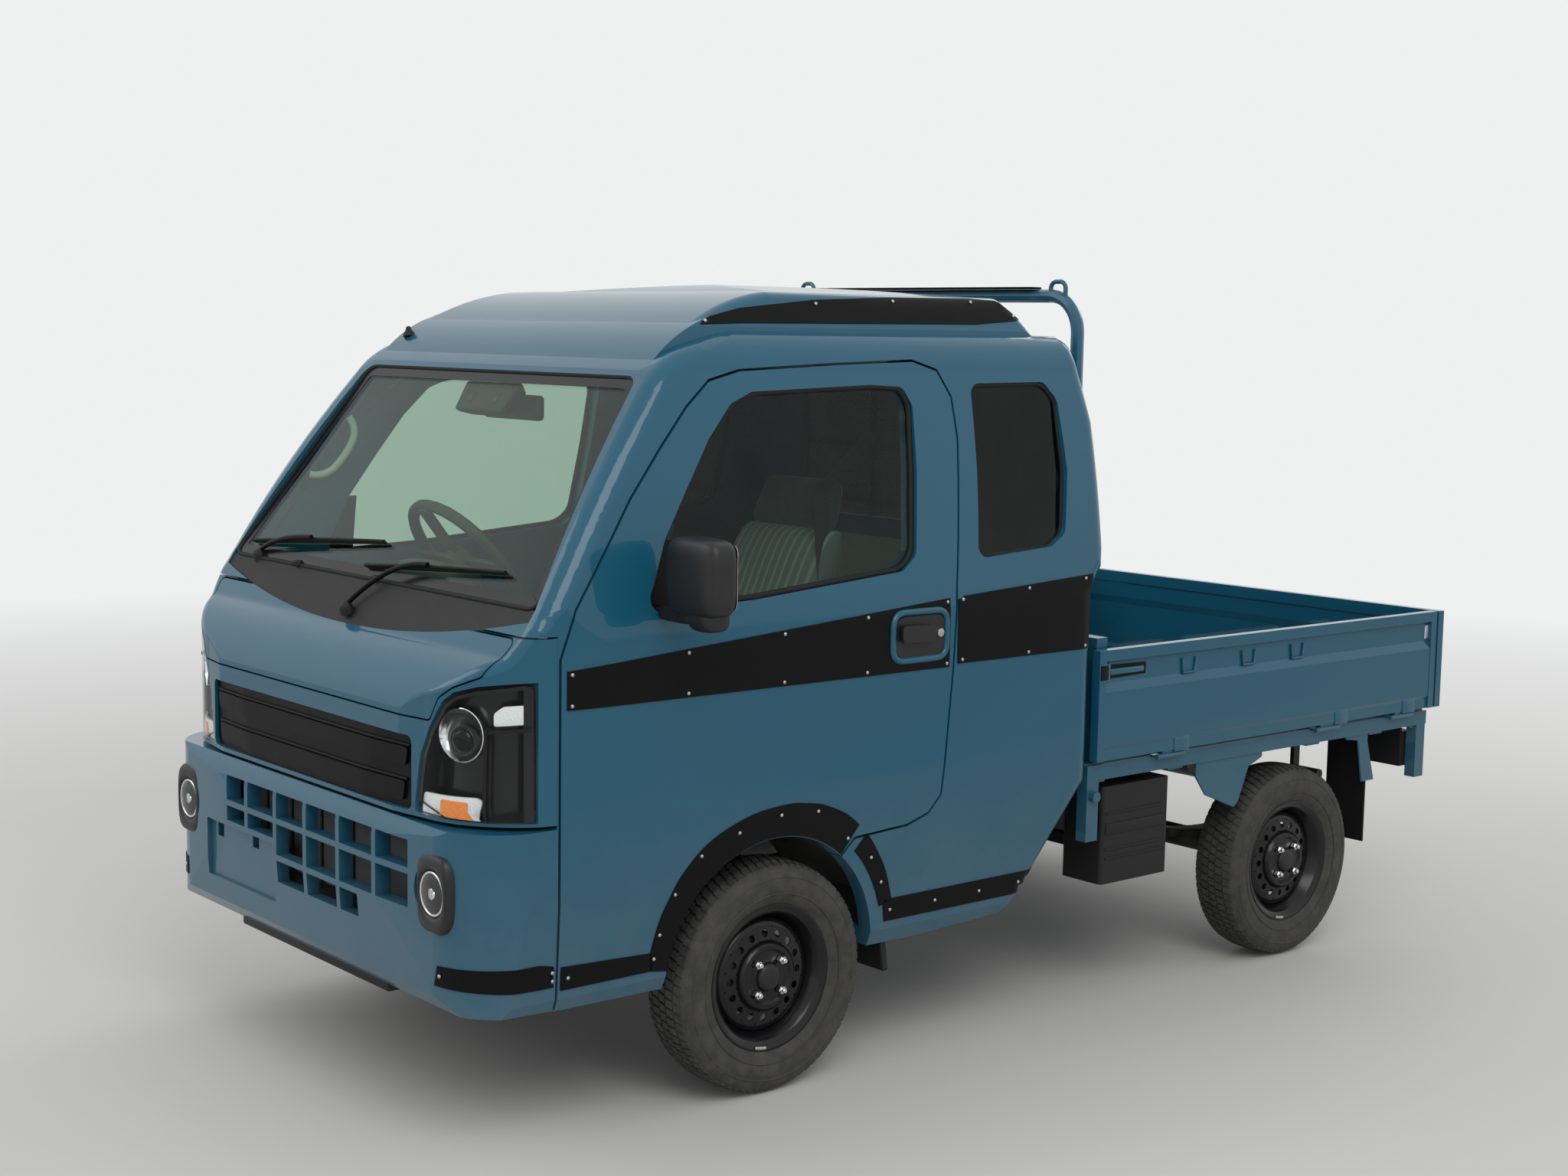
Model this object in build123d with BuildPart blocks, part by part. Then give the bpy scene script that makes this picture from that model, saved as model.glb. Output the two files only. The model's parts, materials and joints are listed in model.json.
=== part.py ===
"""Kei truck with an extended cab: a step-in cab over the front axle, a drop-side bed and a ladder frame.

Millimetres, +Z up, the truck faces -Y and its left side is +X. The origin is on the ground, midway
between nose and tail, on the centre plane.
"""
import os
from math import atan2, cos, degrees, radians, sin, tau

from build123d import *

os.makedirs("parts", exist_ok=True)

# Overall sizes
overall_length = 3395.0
overall_width = 1475.0
overall_height = 1885.0
front_overhang = 825.0
wheelbase = 1905.0
track_front = 1305.0
track_rear = 1300.0

nose_y = -overall_length / 2
tail_y = overall_length / 2
front_axle_y = nose_y + front_overhang
rear_axle_y = front_axle_y + wheelbase
half_width = overall_width / 2

# Clearances, gaps and one overrun for every cut
seat_gap = 0.3
panel_gap = 4.0
door_gap = 6.0
overrun = 40.0
sides = (-1, 1)
side_names = {1: "left", -1: "right"}

# Cab sizes
cab_length = 1907.0
cab_height = 1745.0
raised_roof_top = 1855.0
cab_wall = 42.0
cab_back_y = nose_y + cab_length
roof_wall = 24.0
glass_inset = 6.0
glass_thick = 5.0
front_split_y = front_axle_y - 603.0
roof_half_width = 585.0
bumper_top_z = 708.0


def cab_yz(row):
    """A point of a side view: shares of the cab's length from the nose and of its height."""
    return (nose_y + row[0] * cab_length, row[1] * cab_height)


def cab_xz(row):
    """A point of a front view: shares of half the width and of the cab's height."""
    return (row[0] * half_width, row[1] * cab_height)


def cab_xy(row):
    """A point of a plan view: shares of half the width and of the cab's length from the nose."""
    return (row[0] * half_width, nose_y + row[1] * cab_length)


def trace(rows, place, size):
    """Draws a closed outline inside a BuildLine.

    Each row has two coordinate shares and a bulge: how far the arc to the next point stands outwards,
    as a share of size, zero for a straight line.
    """
    points = [place(row) for row in rows]
    edges = list(zip(points, points[1:] + points[:1]))
    turn = sum(start[0] * end[1] - end[0] * start[1] for start, end in edges)
    outwards = -size if turn > 0 else size
    for row, (start, end) in zip(rows, edges):
        if row[2] * size:
            SagittaArc(start, end, row[2] * outwards)
        else:
            Line(start, end)


def mirrored(rows):
    """A half outline, from the centre line outwards and back to it, with its mirror image."""
    other = []
    for index in range(len(rows) - 1, 0, -1):
        other.append((-rows[index][0], rows[index][1], rows[index - 1][2]))
    last_on_axis = abs(rows[-1][0]) == 0
    body = rows[:-1] if last_on_axis else rows
    if last_on_axis:
        other[0] = (rows[-1][0], rows[-1][1], other[0][2])
    return body + other


# Cab outlines, columns: first share, second share, bulge share
cab_side_shares = [
    (0.024, 0.175, 0.0), (0.014, 0.298, 0.0), (0.010, 0.420, 0.0),
    (0.012, 0.520, 0.016), (0.067, 0.608, 0.0), (0.101, 0.665, 0.006), (0.281, 0.946, 0.004),
    (0.345, 0.980, 0.003), (0.440, 1.000, 0.0), (0.955, 1.000, 0.010), (0.985, 0.958, 0.0),
    (1.000, 0.870, 0.0), (1.000, 0.665, 0.0), (0.973, 0.625, 0.0), (0.973, 0.348, 0.0),
    (0.884, 0.230, 0.0), (0.820, 0.175, 0.0), (0.658, 0.168, 0.0), (0.300, 0.172, 0.0),
]
cab_front_half_shares = [
    (0.0, 0.165, 0.0), (0.950, 0.165, 0.0), (0.975, 0.190, 0.0), (0.992, 0.320, 0.0),
    (1.0, 0.400, 0.0), (1.0, 0.620, 0.007), (0.876, 0.946, 0.007), (0.793, 0.996, 0.0),
    (0.0, 1.000, 0.0),
]
cab_plan_half_shares = [
    (0.0, 0.0, 0.007), (0.690, 0.019, 0.020), (0.985, 0.100, 0.002), (1.0, 0.220, 0.0),
    (1.0, 0.957, 0.008), (0.940, 1.0, 0.0), (0.0, 1.0, 0.0),
]
bumper_side_shares = [
    (0.020, 0.179, 0.0), (0.006, 0.198, 0.0), (0.0, 0.290, 0.0), (0.0, 0.372, 0.003),
    (0.012, 0.402, 0.0), (0.200, 0.402, 0.0), (0.200, 0.172, 0.0),
]
bumper_plan_half_shares = [
    (0.0, 0.0, 0.004), (0.790, 0.006, 0.017), (0.990, 0.080, 0.001), (1.0, 0.200, 0.0),
    (0.0, 0.200, 0.0),
]
raised_side_shares = [
    (0.287, 0.945, 0.006), (0.360, 1.006, 0.012), (0.527, 1.050, 0.004), (0.658, 1.063, 0.002),
    (0.850, 1.060, 0.006), (0.918, 1.006, 0.0), (0.930, 0.960, 0.0), (0.300, 0.930, 0.0),
]
raised_front_half_shares = [
    (0.0, 0.900, 0.0), (0.792, 0.900, 0.0), (0.788, 1.002, 0.0), (0.740, 1.048, 0.0),
    (0.0, 1.063, 0.0),
]


def outline(rows, place, size, inset):
    """A closed face from an outline table; one drawn inwards by inset runs on straight chords."""
    with BuildSketch() as flat:
        with BuildLine():
            trace(rows, place, 0 if inset else size)
        make_face()
        if inset:
            offset(amount=-inset, kind=Kind.INTERSECTION)
    return flat.sketch


def three_views(side_rows, front_rows, plan_rows, inset):
    """The solid that three outlines agree on, all of them drawn inwards by inset."""
    side_face = outline(side_rows, cab_yz, cab_length, inset)
    front_face = outline(front_rows, cab_xz, cab_length, inset)
    with BuildPart() as body:
        with BuildSketch(Plane.YZ):
            add(side_face)
        extrude(amount=half_width, both=True)
        with BuildSketch(Plane.XZ):
            add(front_face)
        extrude(amount=overall_length, both=True, mode=Mode.INTERSECT)
        if plan_rows:
            plan_face = outline(plan_rows, cab_xy, cab_length, inset)
            with BuildSketch(Plane.XY):
                add(plan_face)
            extrude(amount=raised_roof_top + overrun, mode=Mode.INTERSECT)
    return body.part


cab_front_shares = mirrored(cab_front_half_shares)
cab_plan_shares = mirrored(cab_plan_half_shares)
bumper_plan_shares = mirrored(bumper_plan_half_shares)
raised_front_shares = mirrored(raised_front_half_shares)


def y_at(distance):
    """A place along the truck, measured back from the front axle."""
    return front_axle_y + distance


def corners(solid, low, high):
    """Edges where a solid's surface turns, with their middles in a box that is mirrored across X."""
    found = []
    for edge in solid.edges():
        middle = edge @ 0.5
        place = (abs(middle.X), middle.Y, middle.Z)
        if not all(least <= value <= most for least, value, most in zip(low, place, high)):
            continue
        meeting = [face for face in solid.faces() if any(edge.is_same(other) for other in face.edges())]
        if len(meeting) == 2:
            turn = meeting[0].normal_at(middle).get_angle(meeting[1].normal_at(middle))
            if turn > least_turn:
                found.append(edge)
    return found


least_turn = 14.0
pillar_round = 45.0
nose_round = 30.0
raised_round = 30.0
round_from_x = 560.0
round_from_z = 1000.0
rear_round_y = cab_back_y - 110.0
rear_round_z = 560.0
nose_round_y = nose_y + 300.0
nose_round_z = 930.0
raised_round_z = 1760.0
cab_prism = three_views(cab_side_shares, cab_front_shares, None, 0).solid()
pillar_edges = corners(
    cab_prism, (round_from_x, nose_y, round_from_z), (half_width + seat_gap, cab_back_y, cab_height))
pillar_edges += corners(
    cab_prism, (round_from_x, rear_round_y, rear_round_z), (half_width + seat_gap, cab_back_y, round_from_z))
with BuildPart() as cab_blank:
    add(cab_prism.fillet(pillar_round, pillar_edges))
    with BuildSketch(Plane.XY):
        add(outline(cab_plan_shares, cab_xy, cab_length, 0))
    extrude(amount=raised_roof_top, mode=Mode.INTERSECT)
cab_outer_block = cab_blank.part.solid()
nose_edges = corners(
    cab_outer_block, (0, nose_y - overrun, nose_round_z), (half_width, nose_round_y, cab_height))
cab_outer_block = cab_outer_block.fillet(nose_round, nose_edges)
raised_block = three_views(raised_side_shares, raised_front_shares, None, 0).solid()
raised_edges = corners(raised_block, (0, nose_y, raised_round_z), (half_width, cab_back_y, overall_height))
raised_block = raised_block.fillet(raised_round, raised_edges)


def cab_skin(near, far):
    """The cab's walls between two depths below its outer surface, whose corners are rounded."""
    with BuildPart() as skin:
        if near:
            add(three_views(cab_side_shares, cab_front_shares, cab_plan_shares, near))
        else:
            add(cab_outer_block)
        add(three_views(cab_side_shares, cab_front_shares, cab_plan_shares, far), mode=Mode.SUBTRACT)
    return skin.part


def side_prism(face, x_low, x_high):
    """A side-view face drawn through the truck between two widths."""
    with BuildPart() as block:
        with BuildSketch(Plane.YZ.offset(x_low)):
            add(face)
        extrude(amount=x_high - x_low)
    return block.part


def front_prism(face, y_low, y_high):
    """A front-view face drawn along the truck between two places."""
    with BuildPart() as block:
        with BuildSketch(Plane.XZ.offset(-y_high)):
            add(face)
        extrude(amount=y_high - y_low)
    return block.part


def block_between(low, high):
    """A box from its lowest to its highest corner, kept apart from any open builder."""
    size = [top - bottom for bottom, top in zip(low, high)]
    return Pos(*low) * Box(*size, align=(Align.MIN, Align.MIN, Align.MIN), mode=Mode.PRIVATE)


def polygon(points, radius=0.0, inset=0.0):
    """A closed straight-sided face, its corners rounded, then drawn inwards by inset."""
    with BuildSketch() as flat:
        with BuildLine():
            Polyline(*points, close=True)
        make_face()
        if radius:
            fillet(flat.vertices(), radius=radius)
        if inset:
            offset(amount=-inset, kind=Kind.INTERSECTION)
    return flat.sketch


def finish(name, solid):
    """Labels a finished piece and writes it as one file."""
    solid.label = name
    export_step(solid, f"parts/{name}.step")


turned_sides = 32
rod_sides = 8


def turned(rows, plane):
    """A round solid in flats about a plane's normal, from a table of heights and radii."""
    turns = [tau * step / turned_sides for step in range(turned_sides)]
    rings = [
        [plane.from_local_coords((radius * cos(turn), radius * sin(turn), height)) for turn in turns]
        for height, radius in rows
    ]
    faces = [Face(Wire.make_polygon(ring)) for ring in (rings[0], rings[-1])]
    for low, high in zip(rings, rings[1:]):
        for step in range(turned_sides):
            corners_of_flat = [low[step - 1], low[step], high[step], high[step - 1]]
            faces.append(Face(Wire.make_polygon(corners_of_flat)))
    return Solid(Shell(faces))


def cab_points(shares):
    """Side-view points from a table of shares of the cab's length and height."""
    return [cab_yz(row) for row in shares]


# Door and window outlines in the side view, columns: length share, height share
door_shares = [
    (0.118, 0.160), (0.118, 0.606), (0.137, 0.664), (0.220, 0.793), (0.268, 0.853),
    (0.312, 0.903), (0.350, 0.936), (0.398, 0.949), (0.545, 0.957), (0.675, 0.962),
    (0.716, 0.949), (0.735, 0.912), (0.737, 0.854), (0.727, 0.758), (0.717, 0.652),
    (0.712, 0.540), (0.702, 0.420), (0.697, 0.366), (0.676, 0.342), (0.640, 0.330),
    (0.553, 0.325), (0.520, 0.290), (0.440, 0.200), (0.270, 0.160),
]
door_window_shares = [
    (0.232, 0.652), (0.265, 0.742), (0.300, 0.800), (0.340, 0.862), (0.378, 0.905),
    (0.412, 0.920), (0.600, 0.928), (0.652, 0.925), (0.665, 0.900), (0.660, 0.813),
    (0.648, 0.700), (0.625, 0.680), (0.390, 0.659),
]
quarter_window_shares = [
    (0.755, 0.689), (0.764, 0.810), (0.770, 0.929), (0.905, 0.931), (0.926, 0.905),
    (0.930, 0.805), (0.917, 0.716), (0.890, 0.699),
]
door_corner = 14.0
window_corner = 30.0
arch_radius = 304.0
arch_y = y_at(-6.0)
arch_z = 299.0
door_inner_x = 590.0
half_roof_z = 1630.0

# The windscreen's own plane: up the slope from the cowl, square to the glass
screen_foot = cab_yz(cab_side_shares[5])
screen_head = cab_yz(cab_side_shares[6])
screen_rise = (Vector(0, *screen_head) - Vector(0, *screen_foot)).length
screen_slope = degrees(atan2(screen_head[1] - screen_foot[1], screen_head[0] - screen_foot[0]))
screen_plane = Plane(
    origin=(0, *screen_foot), x_dir=(1, 0, 0),
    z_dir=(0, -sin(radians(screen_slope)), cos(radians(screen_slope))),
)
screen_foot_half = 690.0
screen_head_half = 584.0
screen_margin = 16.0
screen_corner = 45.0
screen_depth = 170.0
cowl_drop_middle = 119.0
cowl_drop_side = 30.0

# Cab openings and regions
screen_points = [
    (-screen_foot_half, 0), (screen_foot_half, 0),
    (screen_head_half, screen_rise - screen_margin), (-screen_head_half, screen_rise - screen_margin),
]
with BuildSketch() as screen_flat:
    with BuildLine():
        Polyline(*screen_points, close=True)
    make_face()
    fillet(screen_flat.vertices().sort_by(Axis.Y)[-2:], radius=screen_corner)
screen_face = screen_flat.sketch
with BuildSketch() as cowl_flat:
    with BuildLine():
        Line((-screen_foot_half, -cowl_drop_side), (-screen_foot_half, 0))
        Line((-screen_foot_half, 0), (screen_foot_half, 0))
        Line((screen_foot_half, 0), (screen_foot_half, -cowl_drop_side))
        ThreePointArc(
            (screen_foot_half, -cowl_drop_side), (0, -cowl_drop_middle),
            (-screen_foot_half, -cowl_drop_side),
        )
    make_face()
cowl_face = cowl_flat.sketch


def screen_prism(face, inset=0.0):
    """A face on the windscreen's plane, drawn through the cab's front wall."""
    with BuildPart() as block:
        with BuildSketch(screen_plane):
            add(face)
            if inset:
                offset(amount=-inset, kind=Kind.INTERSECTION)
        extrude(amount=screen_depth / 2, both=True)
    return block.part


screen_hole = screen_prism(screen_face)
cowl_hole = screen_prism(cowl_face)
door_face = polygon(cab_points(door_shares), door_corner)
door_inner_face = polygon(cab_points(door_shares), door_corner, door_gap)
door_window_face = polygon(cab_points(door_window_shares), window_corner)
quarter_window_face = polygon(cab_points(quarter_window_shares), window_corner)
with BuildPart() as arch_maker:
    with BuildSketch(Plane.YZ):
        with Locations((arch_y, arch_z)):
            Circle(arch_radius)
    extrude(amount=half_width + overrun, both=True)
arch_hole = arch_maker.part

cab_walls = cab_skin(0, cab_wall)
rear_cut_half = 640.0
floor_cut_half = 640.0
rear_cut_y = cab_back_y - 190.0
floor_cut_z = 600.0
cab_top = raised_roof_top + overrun
roof_region = block_between(
    (-roof_half_width, nose_y, half_roof_z), (roof_half_width, cab_back_y + overrun, cab_top)
)
back_region = block_between(
    (-rear_cut_half, rear_cut_y, 0), (rear_cut_half, cab_back_y + overrun, half_roof_z)
)
bottom_region = block_between(
    (-floor_cut_half, nose_y, 0), (floor_cut_half, cab_back_y + overrun, floor_cut_z)
)
pillar_base_z = 1105.0
front_region = block_between(
    (-half_width, nose_y - overrun, 0), (half_width, front_split_y, pillar_base_z + panel_gap / 2)
)

with BuildPart() as cab_sides:
    add(cab_walls)
    add(roof_region, mode=Mode.SUBTRACT)
    add(back_region, mode=Mode.SUBTRACT)
    add(bottom_region, mode=Mode.SUBTRACT)
    add(front_region, mode=Mode.SUBTRACT)
    add(screen_hole, mode=Mode.SUBTRACT)
    add(cowl_hole, mode=Mode.SUBTRACT)
    add(arch_hole, mode=Mode.SUBTRACT)
    for side in sides:
        reach = sorted((side * door_inner_x, side * (half_width + overrun)))
        add(side_prism(door_face, *reach), mode=Mode.SUBTRACT)
        add(side_prism(quarter_window_face, *reach), mode=Mode.SUBTRACT)
finish("cab_sides", cab_sides.part)

with BuildPart() as roof_panel:
    add(cab_walls)
    add(roof_region, mode=Mode.INTERSECT)
    add(raised_block)
    add(roof_region, mode=Mode.INTERSECT)
    add(three_views(raised_side_shares, raised_front_shares, None, roof_wall), mode=Mode.SUBTRACT)
    add(screen_hole, mode=Mode.SUBTRACT)
finish("roof_panel", roof_panel.part)

# Rear wall: open below, where the bed floor runs in under the seats' shelf
shelf_z = 955.0
rear_window_shares = [(-0.62, 0.700), (0.62, 0.700), (0.60, 0.905), (-0.60, 0.905)]
rear_window_corner = 40.0
rear_window_face = polygon([cab_xz(row) for row in rear_window_shares], rear_window_corner)
back_wall_region = block_between(
    (-rear_cut_half + seat_gap, cab_back_y - cab_wall - overrun, shelf_z),
    (rear_cut_half - seat_gap, cab_back_y + overrun, half_roof_z - seat_gap),
)
rear_hole = front_prism(rear_window_face, rear_cut_y, cab_back_y + overrun)
with BuildPart() as cab_rear_wall:
    add(cab_walls)
    add(back_wall_region, mode=Mode.INTERSECT)
    add(rear_hole, mode=Mode.SUBTRACT)
finish("cab_rear_wall", cab_rear_wall.part)

# Nose: fascia, lamps, grille insert, hood lid and cowl
hood_gap_z = 919.0
hood_shares = [
    (-0.715, 0.5265), (0.715, 0.5265), (0.752, 0.556), (0.800, 0.570), (0.880, 0.585),
    (0.900, 0.606), (0.925, 0.632), (-0.925, 0.632), (-0.900, 0.606), (-0.880, 0.585),
    (-0.800, 0.570), (-0.752, 0.556),
]
grille_half = 467.0
grille_low_z = 720.0
grille_high_z = 880.0
grille_corner = 16.0
lamp_shares = [
    (0.644, 0.413), (0.671, 0.483), (0.712, 0.519), (0.763, 0.553), (0.803, 0.566),
    (0.873, 0.575), (0.936, 0.579), (1.01, 0.582), (1.01, 0.411), (0.700, 0.411),
]
lamp_corner = 12.0
lamp_back_y = y_at(-645.0)
lamp_seat = 0.7
hood_face = polygon([cab_xz(row) for row in hood_shares], grille_corner)
grille_points = [
    (-grille_half, grille_low_z), (grille_half, grille_low_z),
    (grille_half, grille_high_z), (-grille_half, grille_high_z),
]
fascia_low = bumper_top_z + panel_gap / 2
fascia_region = block_between(
    (-half_width, nose_y - overrun, fascia_low),
    (half_width, front_split_y - seat_gap, pillar_base_z - panel_gap / 2),
)


def lamp_block(side, inset):
    """The space of one headlamp, drawn inwards by inset."""
    face = polygon([(side * x, z) for x, z in map(cab_xz, lamp_shares)], lamp_corner, inset)
    return front_prism(face, nose_y - overrun, lamp_back_y - inset)


hood_hole = front_prism(hood_face, nose_y - overrun, front_split_y)
grille_hole = front_prism(polygon(grille_points, grille_corner), nose_y - overrun, front_split_y)
lamp_holes = [lamp_block(side, 0.0) for side in sides]
with BuildPart() as front_panel:
    add(cab_walls)
    add(fascia_region, mode=Mode.INTERSECT)
    add(screen_hole, mode=Mode.SUBTRACT)
    add(cowl_hole, mode=Mode.SUBTRACT)
    add(hood_hole, mode=Mode.SUBTRACT)
    add(grille_hole, mode=Mode.SUBTRACT)
    for hole in lamp_holes:
        add(hole, mode=Mode.SUBTRACT)
finish("front_panel", front_panel.part)

hood_inner_face = polygon([cab_xz(row) for row in hood_shares], grille_corner, panel_gap)
with BuildPart() as hood_lid:
    add(cab_walls)
    add(front_prism(hood_inner_face, nose_y - overrun, front_split_y), mode=Mode.INTERSECT)
    add(screen_hole, mode=Mode.SUBTRACT)
    add(cowl_hole, mode=Mode.SUBTRACT)
finish("hood_lid", hood_lid.part)

cowl_sink = 4.0
cowl_thick = 22.0
with BuildPart() as cowl_panel:
    add(cab_skin(cowl_sink, cowl_sink + cowl_thick))
    add(screen_prism(cowl_face, seat_gap), mode=Mode.INTERSECT)
finish("cowl_panel", cowl_panel.part)

grille_sink = 5.0
grille_thick = 14.0
with BuildPart() as grille_insert:
    add(cab_skin(grille_sink, grille_sink + grille_thick))
    grille_seat = polygon(grille_points, grille_corner, seat_gap)
    add(front_prism(grille_seat, nose_y - overrun, front_split_y), mode=Mode.INTERSECT)
    add(block_between(
        (-half_width, nose_y, 0), (half_width, lamp_back_y, cab_height)), mode=Mode.INTERSECT)
finish("grille_insert", grille_insert.part)

with BuildPart() as headlamps:
    add(cab_skin(0, cab_wall))
    with BuildPart(mode=Mode.PRIVATE) as lamp_spaces:
        for side in sides:
            add(lamp_block(side, lamp_seat))
    add(lamp_spaces.part, mode=Mode.INTERSECT)
finish("headlamps", headlamps.part)

# Bumper
bumper_wall = 30.0
bumper_flange = 62.0
bumper_bay_half = 590.0
slot_columns = [
    (-349.0, -257.0), (-241.0, -112.0), (-96.0, 33.0), (49.0, 186.0), (202.0, 346.0), (362.0, 490.0),
    (202.0, 282.0),
]
slot_rows = [
    (604.0, 664.0, [0, 1, 2, 3, 4, 5]), (554.0, 590.0, [0, 1]), (518.0, 590.0, [2, 3, 4, 5]),
    (453.0, 504.0, [2, 3, 6]),
]
plate_low = (-465.0, 400.0)
plate_high = (-115.0, 540.0)
plate_sink = 16.0
plate_holes = [(-414.0, 516.0), (-230.0, 521.0)]
plate_hole = 32.0
fog_x = 572.0
fog_z = 568.0
fog_radius = 46.0
fog_bezel_radius = 58.0
fog_depth = 70.0
bumper_region = block_between(
    (-half_width, nose_y, 0), (half_width, front_split_y - seat_gap, bumper_top_z - panel_gap / 2)
)
with BuildPart() as front_bumper:
    add(three_views(bumper_side_shares, cab_front_shares, bumper_plan_shares, 0))
    add(three_views(bumper_side_shares, cab_front_shares, bumper_plan_shares, bumper_wall),
        mode=Mode.SUBTRACT)
    add(bumper_region, mode=Mode.INTERSECT)
    with BuildSketch(Plane.XZ.offset(-front_split_y)):
        for low_z, high_z, columns in slot_rows:
            for start_x, end_x in [slot_columns[column] for column in columns]:
                with Locations(((start_x + end_x) / 2, (low_z + high_z) / 2)):
                    Rectangle(end_x - start_x, high_z - low_z)
        with Locations(*plate_holes):
            Rectangle(plate_hole, plate_hole)
    extrude(amount=overall_length, mode=Mode.SUBTRACT)
    with BuildSketch(Plane.XZ.offset(-front_split_y)):
        for side in sides:
            with Locations((side * fog_x, fog_z)):
                Circle(fog_bezel_radius)
    extrude(amount=overall_length, mode=Mode.SUBTRACT)
    add(block_between(
        (-bumper_bay_half, nose_y + bumper_flange, 0),
        (bumper_bay_half, front_split_y, bumper_top_z)), mode=Mode.SUBTRACT)
    add(block_between(
        (plate_low[0], nose_y - overrun, plate_low[1]),
        (plate_high[0], nose_y + plate_sink, plate_high[1])), mode=Mode.SUBTRACT)
finish("front_bumper", front_bumper.part)

with BuildPart() as fog_lamps:
    for side in sides:
        with BuildSketch(Plane.XZ.offset(-(nose_y + fog_depth))):
            with Locations((side * fog_x, fog_z)):
                Circle(fog_bezel_radius - seat_gap)
        extrude(amount=fog_depth - 1.5 * bumper_wall)
        with BuildSketch(Plane.XZ.offset(-(nose_y + 1.5 * bumper_wall))):
            with Locations((side * fog_x, fog_z)):
                Circle(fog_radius)
        extrude(amount=0.9 * bumper_wall)
finish("fog_lamps", fog_lamps.part)

# Glass
with BuildPart() as windscreen:
    add(cab_skin(glass_inset, glass_inset + glass_thick))
    add(screen_prism(screen_face, seat_gap), mode=Mode.INTERSECT)
finish("windscreen", windscreen.part)

with BuildPart() as rear_window:
    add(cab_skin(glass_inset, glass_inset + glass_thick))
    rear_seat = polygon([cab_xz(row) for row in rear_window_shares], rear_window_corner, seat_gap)
    add(front_prism(rear_seat, rear_cut_y, cab_back_y + overrun), mode=Mode.INTERSECT)
finish("rear_window", rear_window.part)


def side_pane(face, side):
    """One pane of side glass, set in from the cab's outer surface."""
    reach = sorted((side * door_inner_x, side * (half_width + overrun)))
    with BuildPart() as pane:
        add(cab_skin(glass_inset, glass_inset + glass_thick))
        add(side_prism(face, *reach), mode=Mode.INTERSECT)
    return pane.part


quarter_seat = polygon(cab_points(quarter_window_shares), window_corner, seat_gap)
with BuildPart() as quarter_windows:
    for side in sides:
        add(side_pane(quarter_seat, side))
finish("quarter_windows", quarter_windows.part)

# Doors
window_seat = polygon(cab_points(door_window_shares), window_corner, seat_gap)
for side in sides:
    reach = sorted((side * door_inner_x, side * (half_width + overrun)))
    with BuildPart() as door:
        add(cab_walls)
        add(side_prism(door_inner_face, *reach), mode=Mode.INTERSECT)
        add(side_prism(door_window_face, *reach), mode=Mode.SUBTRACT)
        add(arch_hole, mode=Mode.SUBTRACT)
    finish(f"door_{side_names[side]}", door.part)
    finish(f"door_glass_{side_names[side]}", side_pane(window_seat, side))

# Door mirrors: a shell on an arm that leaves the door below the pillar
mirror_size = (175.0, 70.0, 165.0)
mirror_centre = (862.0, y_at(-330.0), 1228.0)
mirror_corner = 26.0
mirror_pod_size = (95.0, 66.0, 60.0)
mirror_arm_size = (150.0, 50.0, 36.0)
for side in sides:
    with BuildPart() as mirror:
        with Locations((side * mirror_centre[0], *mirror_centre[1:])):
            Box(*mirror_size)
        fillet(mirror.edges().filter_by(Axis.Y), radius=mirror_corner)
        pod_low = mirror_centre[2] - mirror_size[2] / 2
        with Locations((side * mirror_centre[0], mirror_centre[1], pod_low)):
            Box(*mirror_pod_size)
        arm_x = mirror_centre[0] - mirror_size[0] / 2
        with Locations((side * arm_x, mirror_centre[1], pod_low - mirror_arm_size[2] * 0.8)):
            Box(*mirror_arm_size)
        add(cab_outer_block, mode=Mode.SUBTRACT)
    finish(f"mirror_{side_names[side]}", mirror.part)

# Cab floor: a folded pan from the toe board to the shelf behind the seats
floor_thick = 20.0
floor_half = 655.0
pan_line = [
    (y_at(-730.0), 700.0), (y_at(-730.0), 460.0), (y_at(-370.0), 460.0), (y_at(-345.0), 640.0),
    (y_at(545.0), 640.0), (y_at(545.0), shelf_z - floor_thick / 2),
    (cab_back_y, shelf_z - floor_thick / 2),
]
toe_half = 520.0
pan_widen_y = y_at(-600.0)
pan_step_y = y_at(985.0)
pan_back_y = y_at(1029.0)
pan_rear_half = rear_cut_half - seat_gap
with BuildPart() as cab_floor:
    with BuildSketch(Plane.YZ):
        with BuildLine():
            pan = Polyline(*pan_line)
            offset(pan, amount=floor_thick / 2)
        make_face()
    extrude(amount=floor_half, both=True)
    with BuildSketch(Plane.XY):
        with BuildLine():
            Polyline(
                (-toe_half, nose_y), (toe_half, nose_y), (floor_half, pan_widen_y),
                (floor_half, pan_step_y), (pan_rear_half, pan_step_y), (pan_rear_half, pan_back_y),
                (-pan_rear_half, pan_back_y), (-pan_rear_half, pan_step_y),
                (-floor_half, pan_step_y), (-floor_half, pan_widen_y), close=True)
        make_face()
    extrude(amount=cab_height, mode=Mode.INTERSECT)
finish("cab_floor", cab_floor.part)

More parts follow.
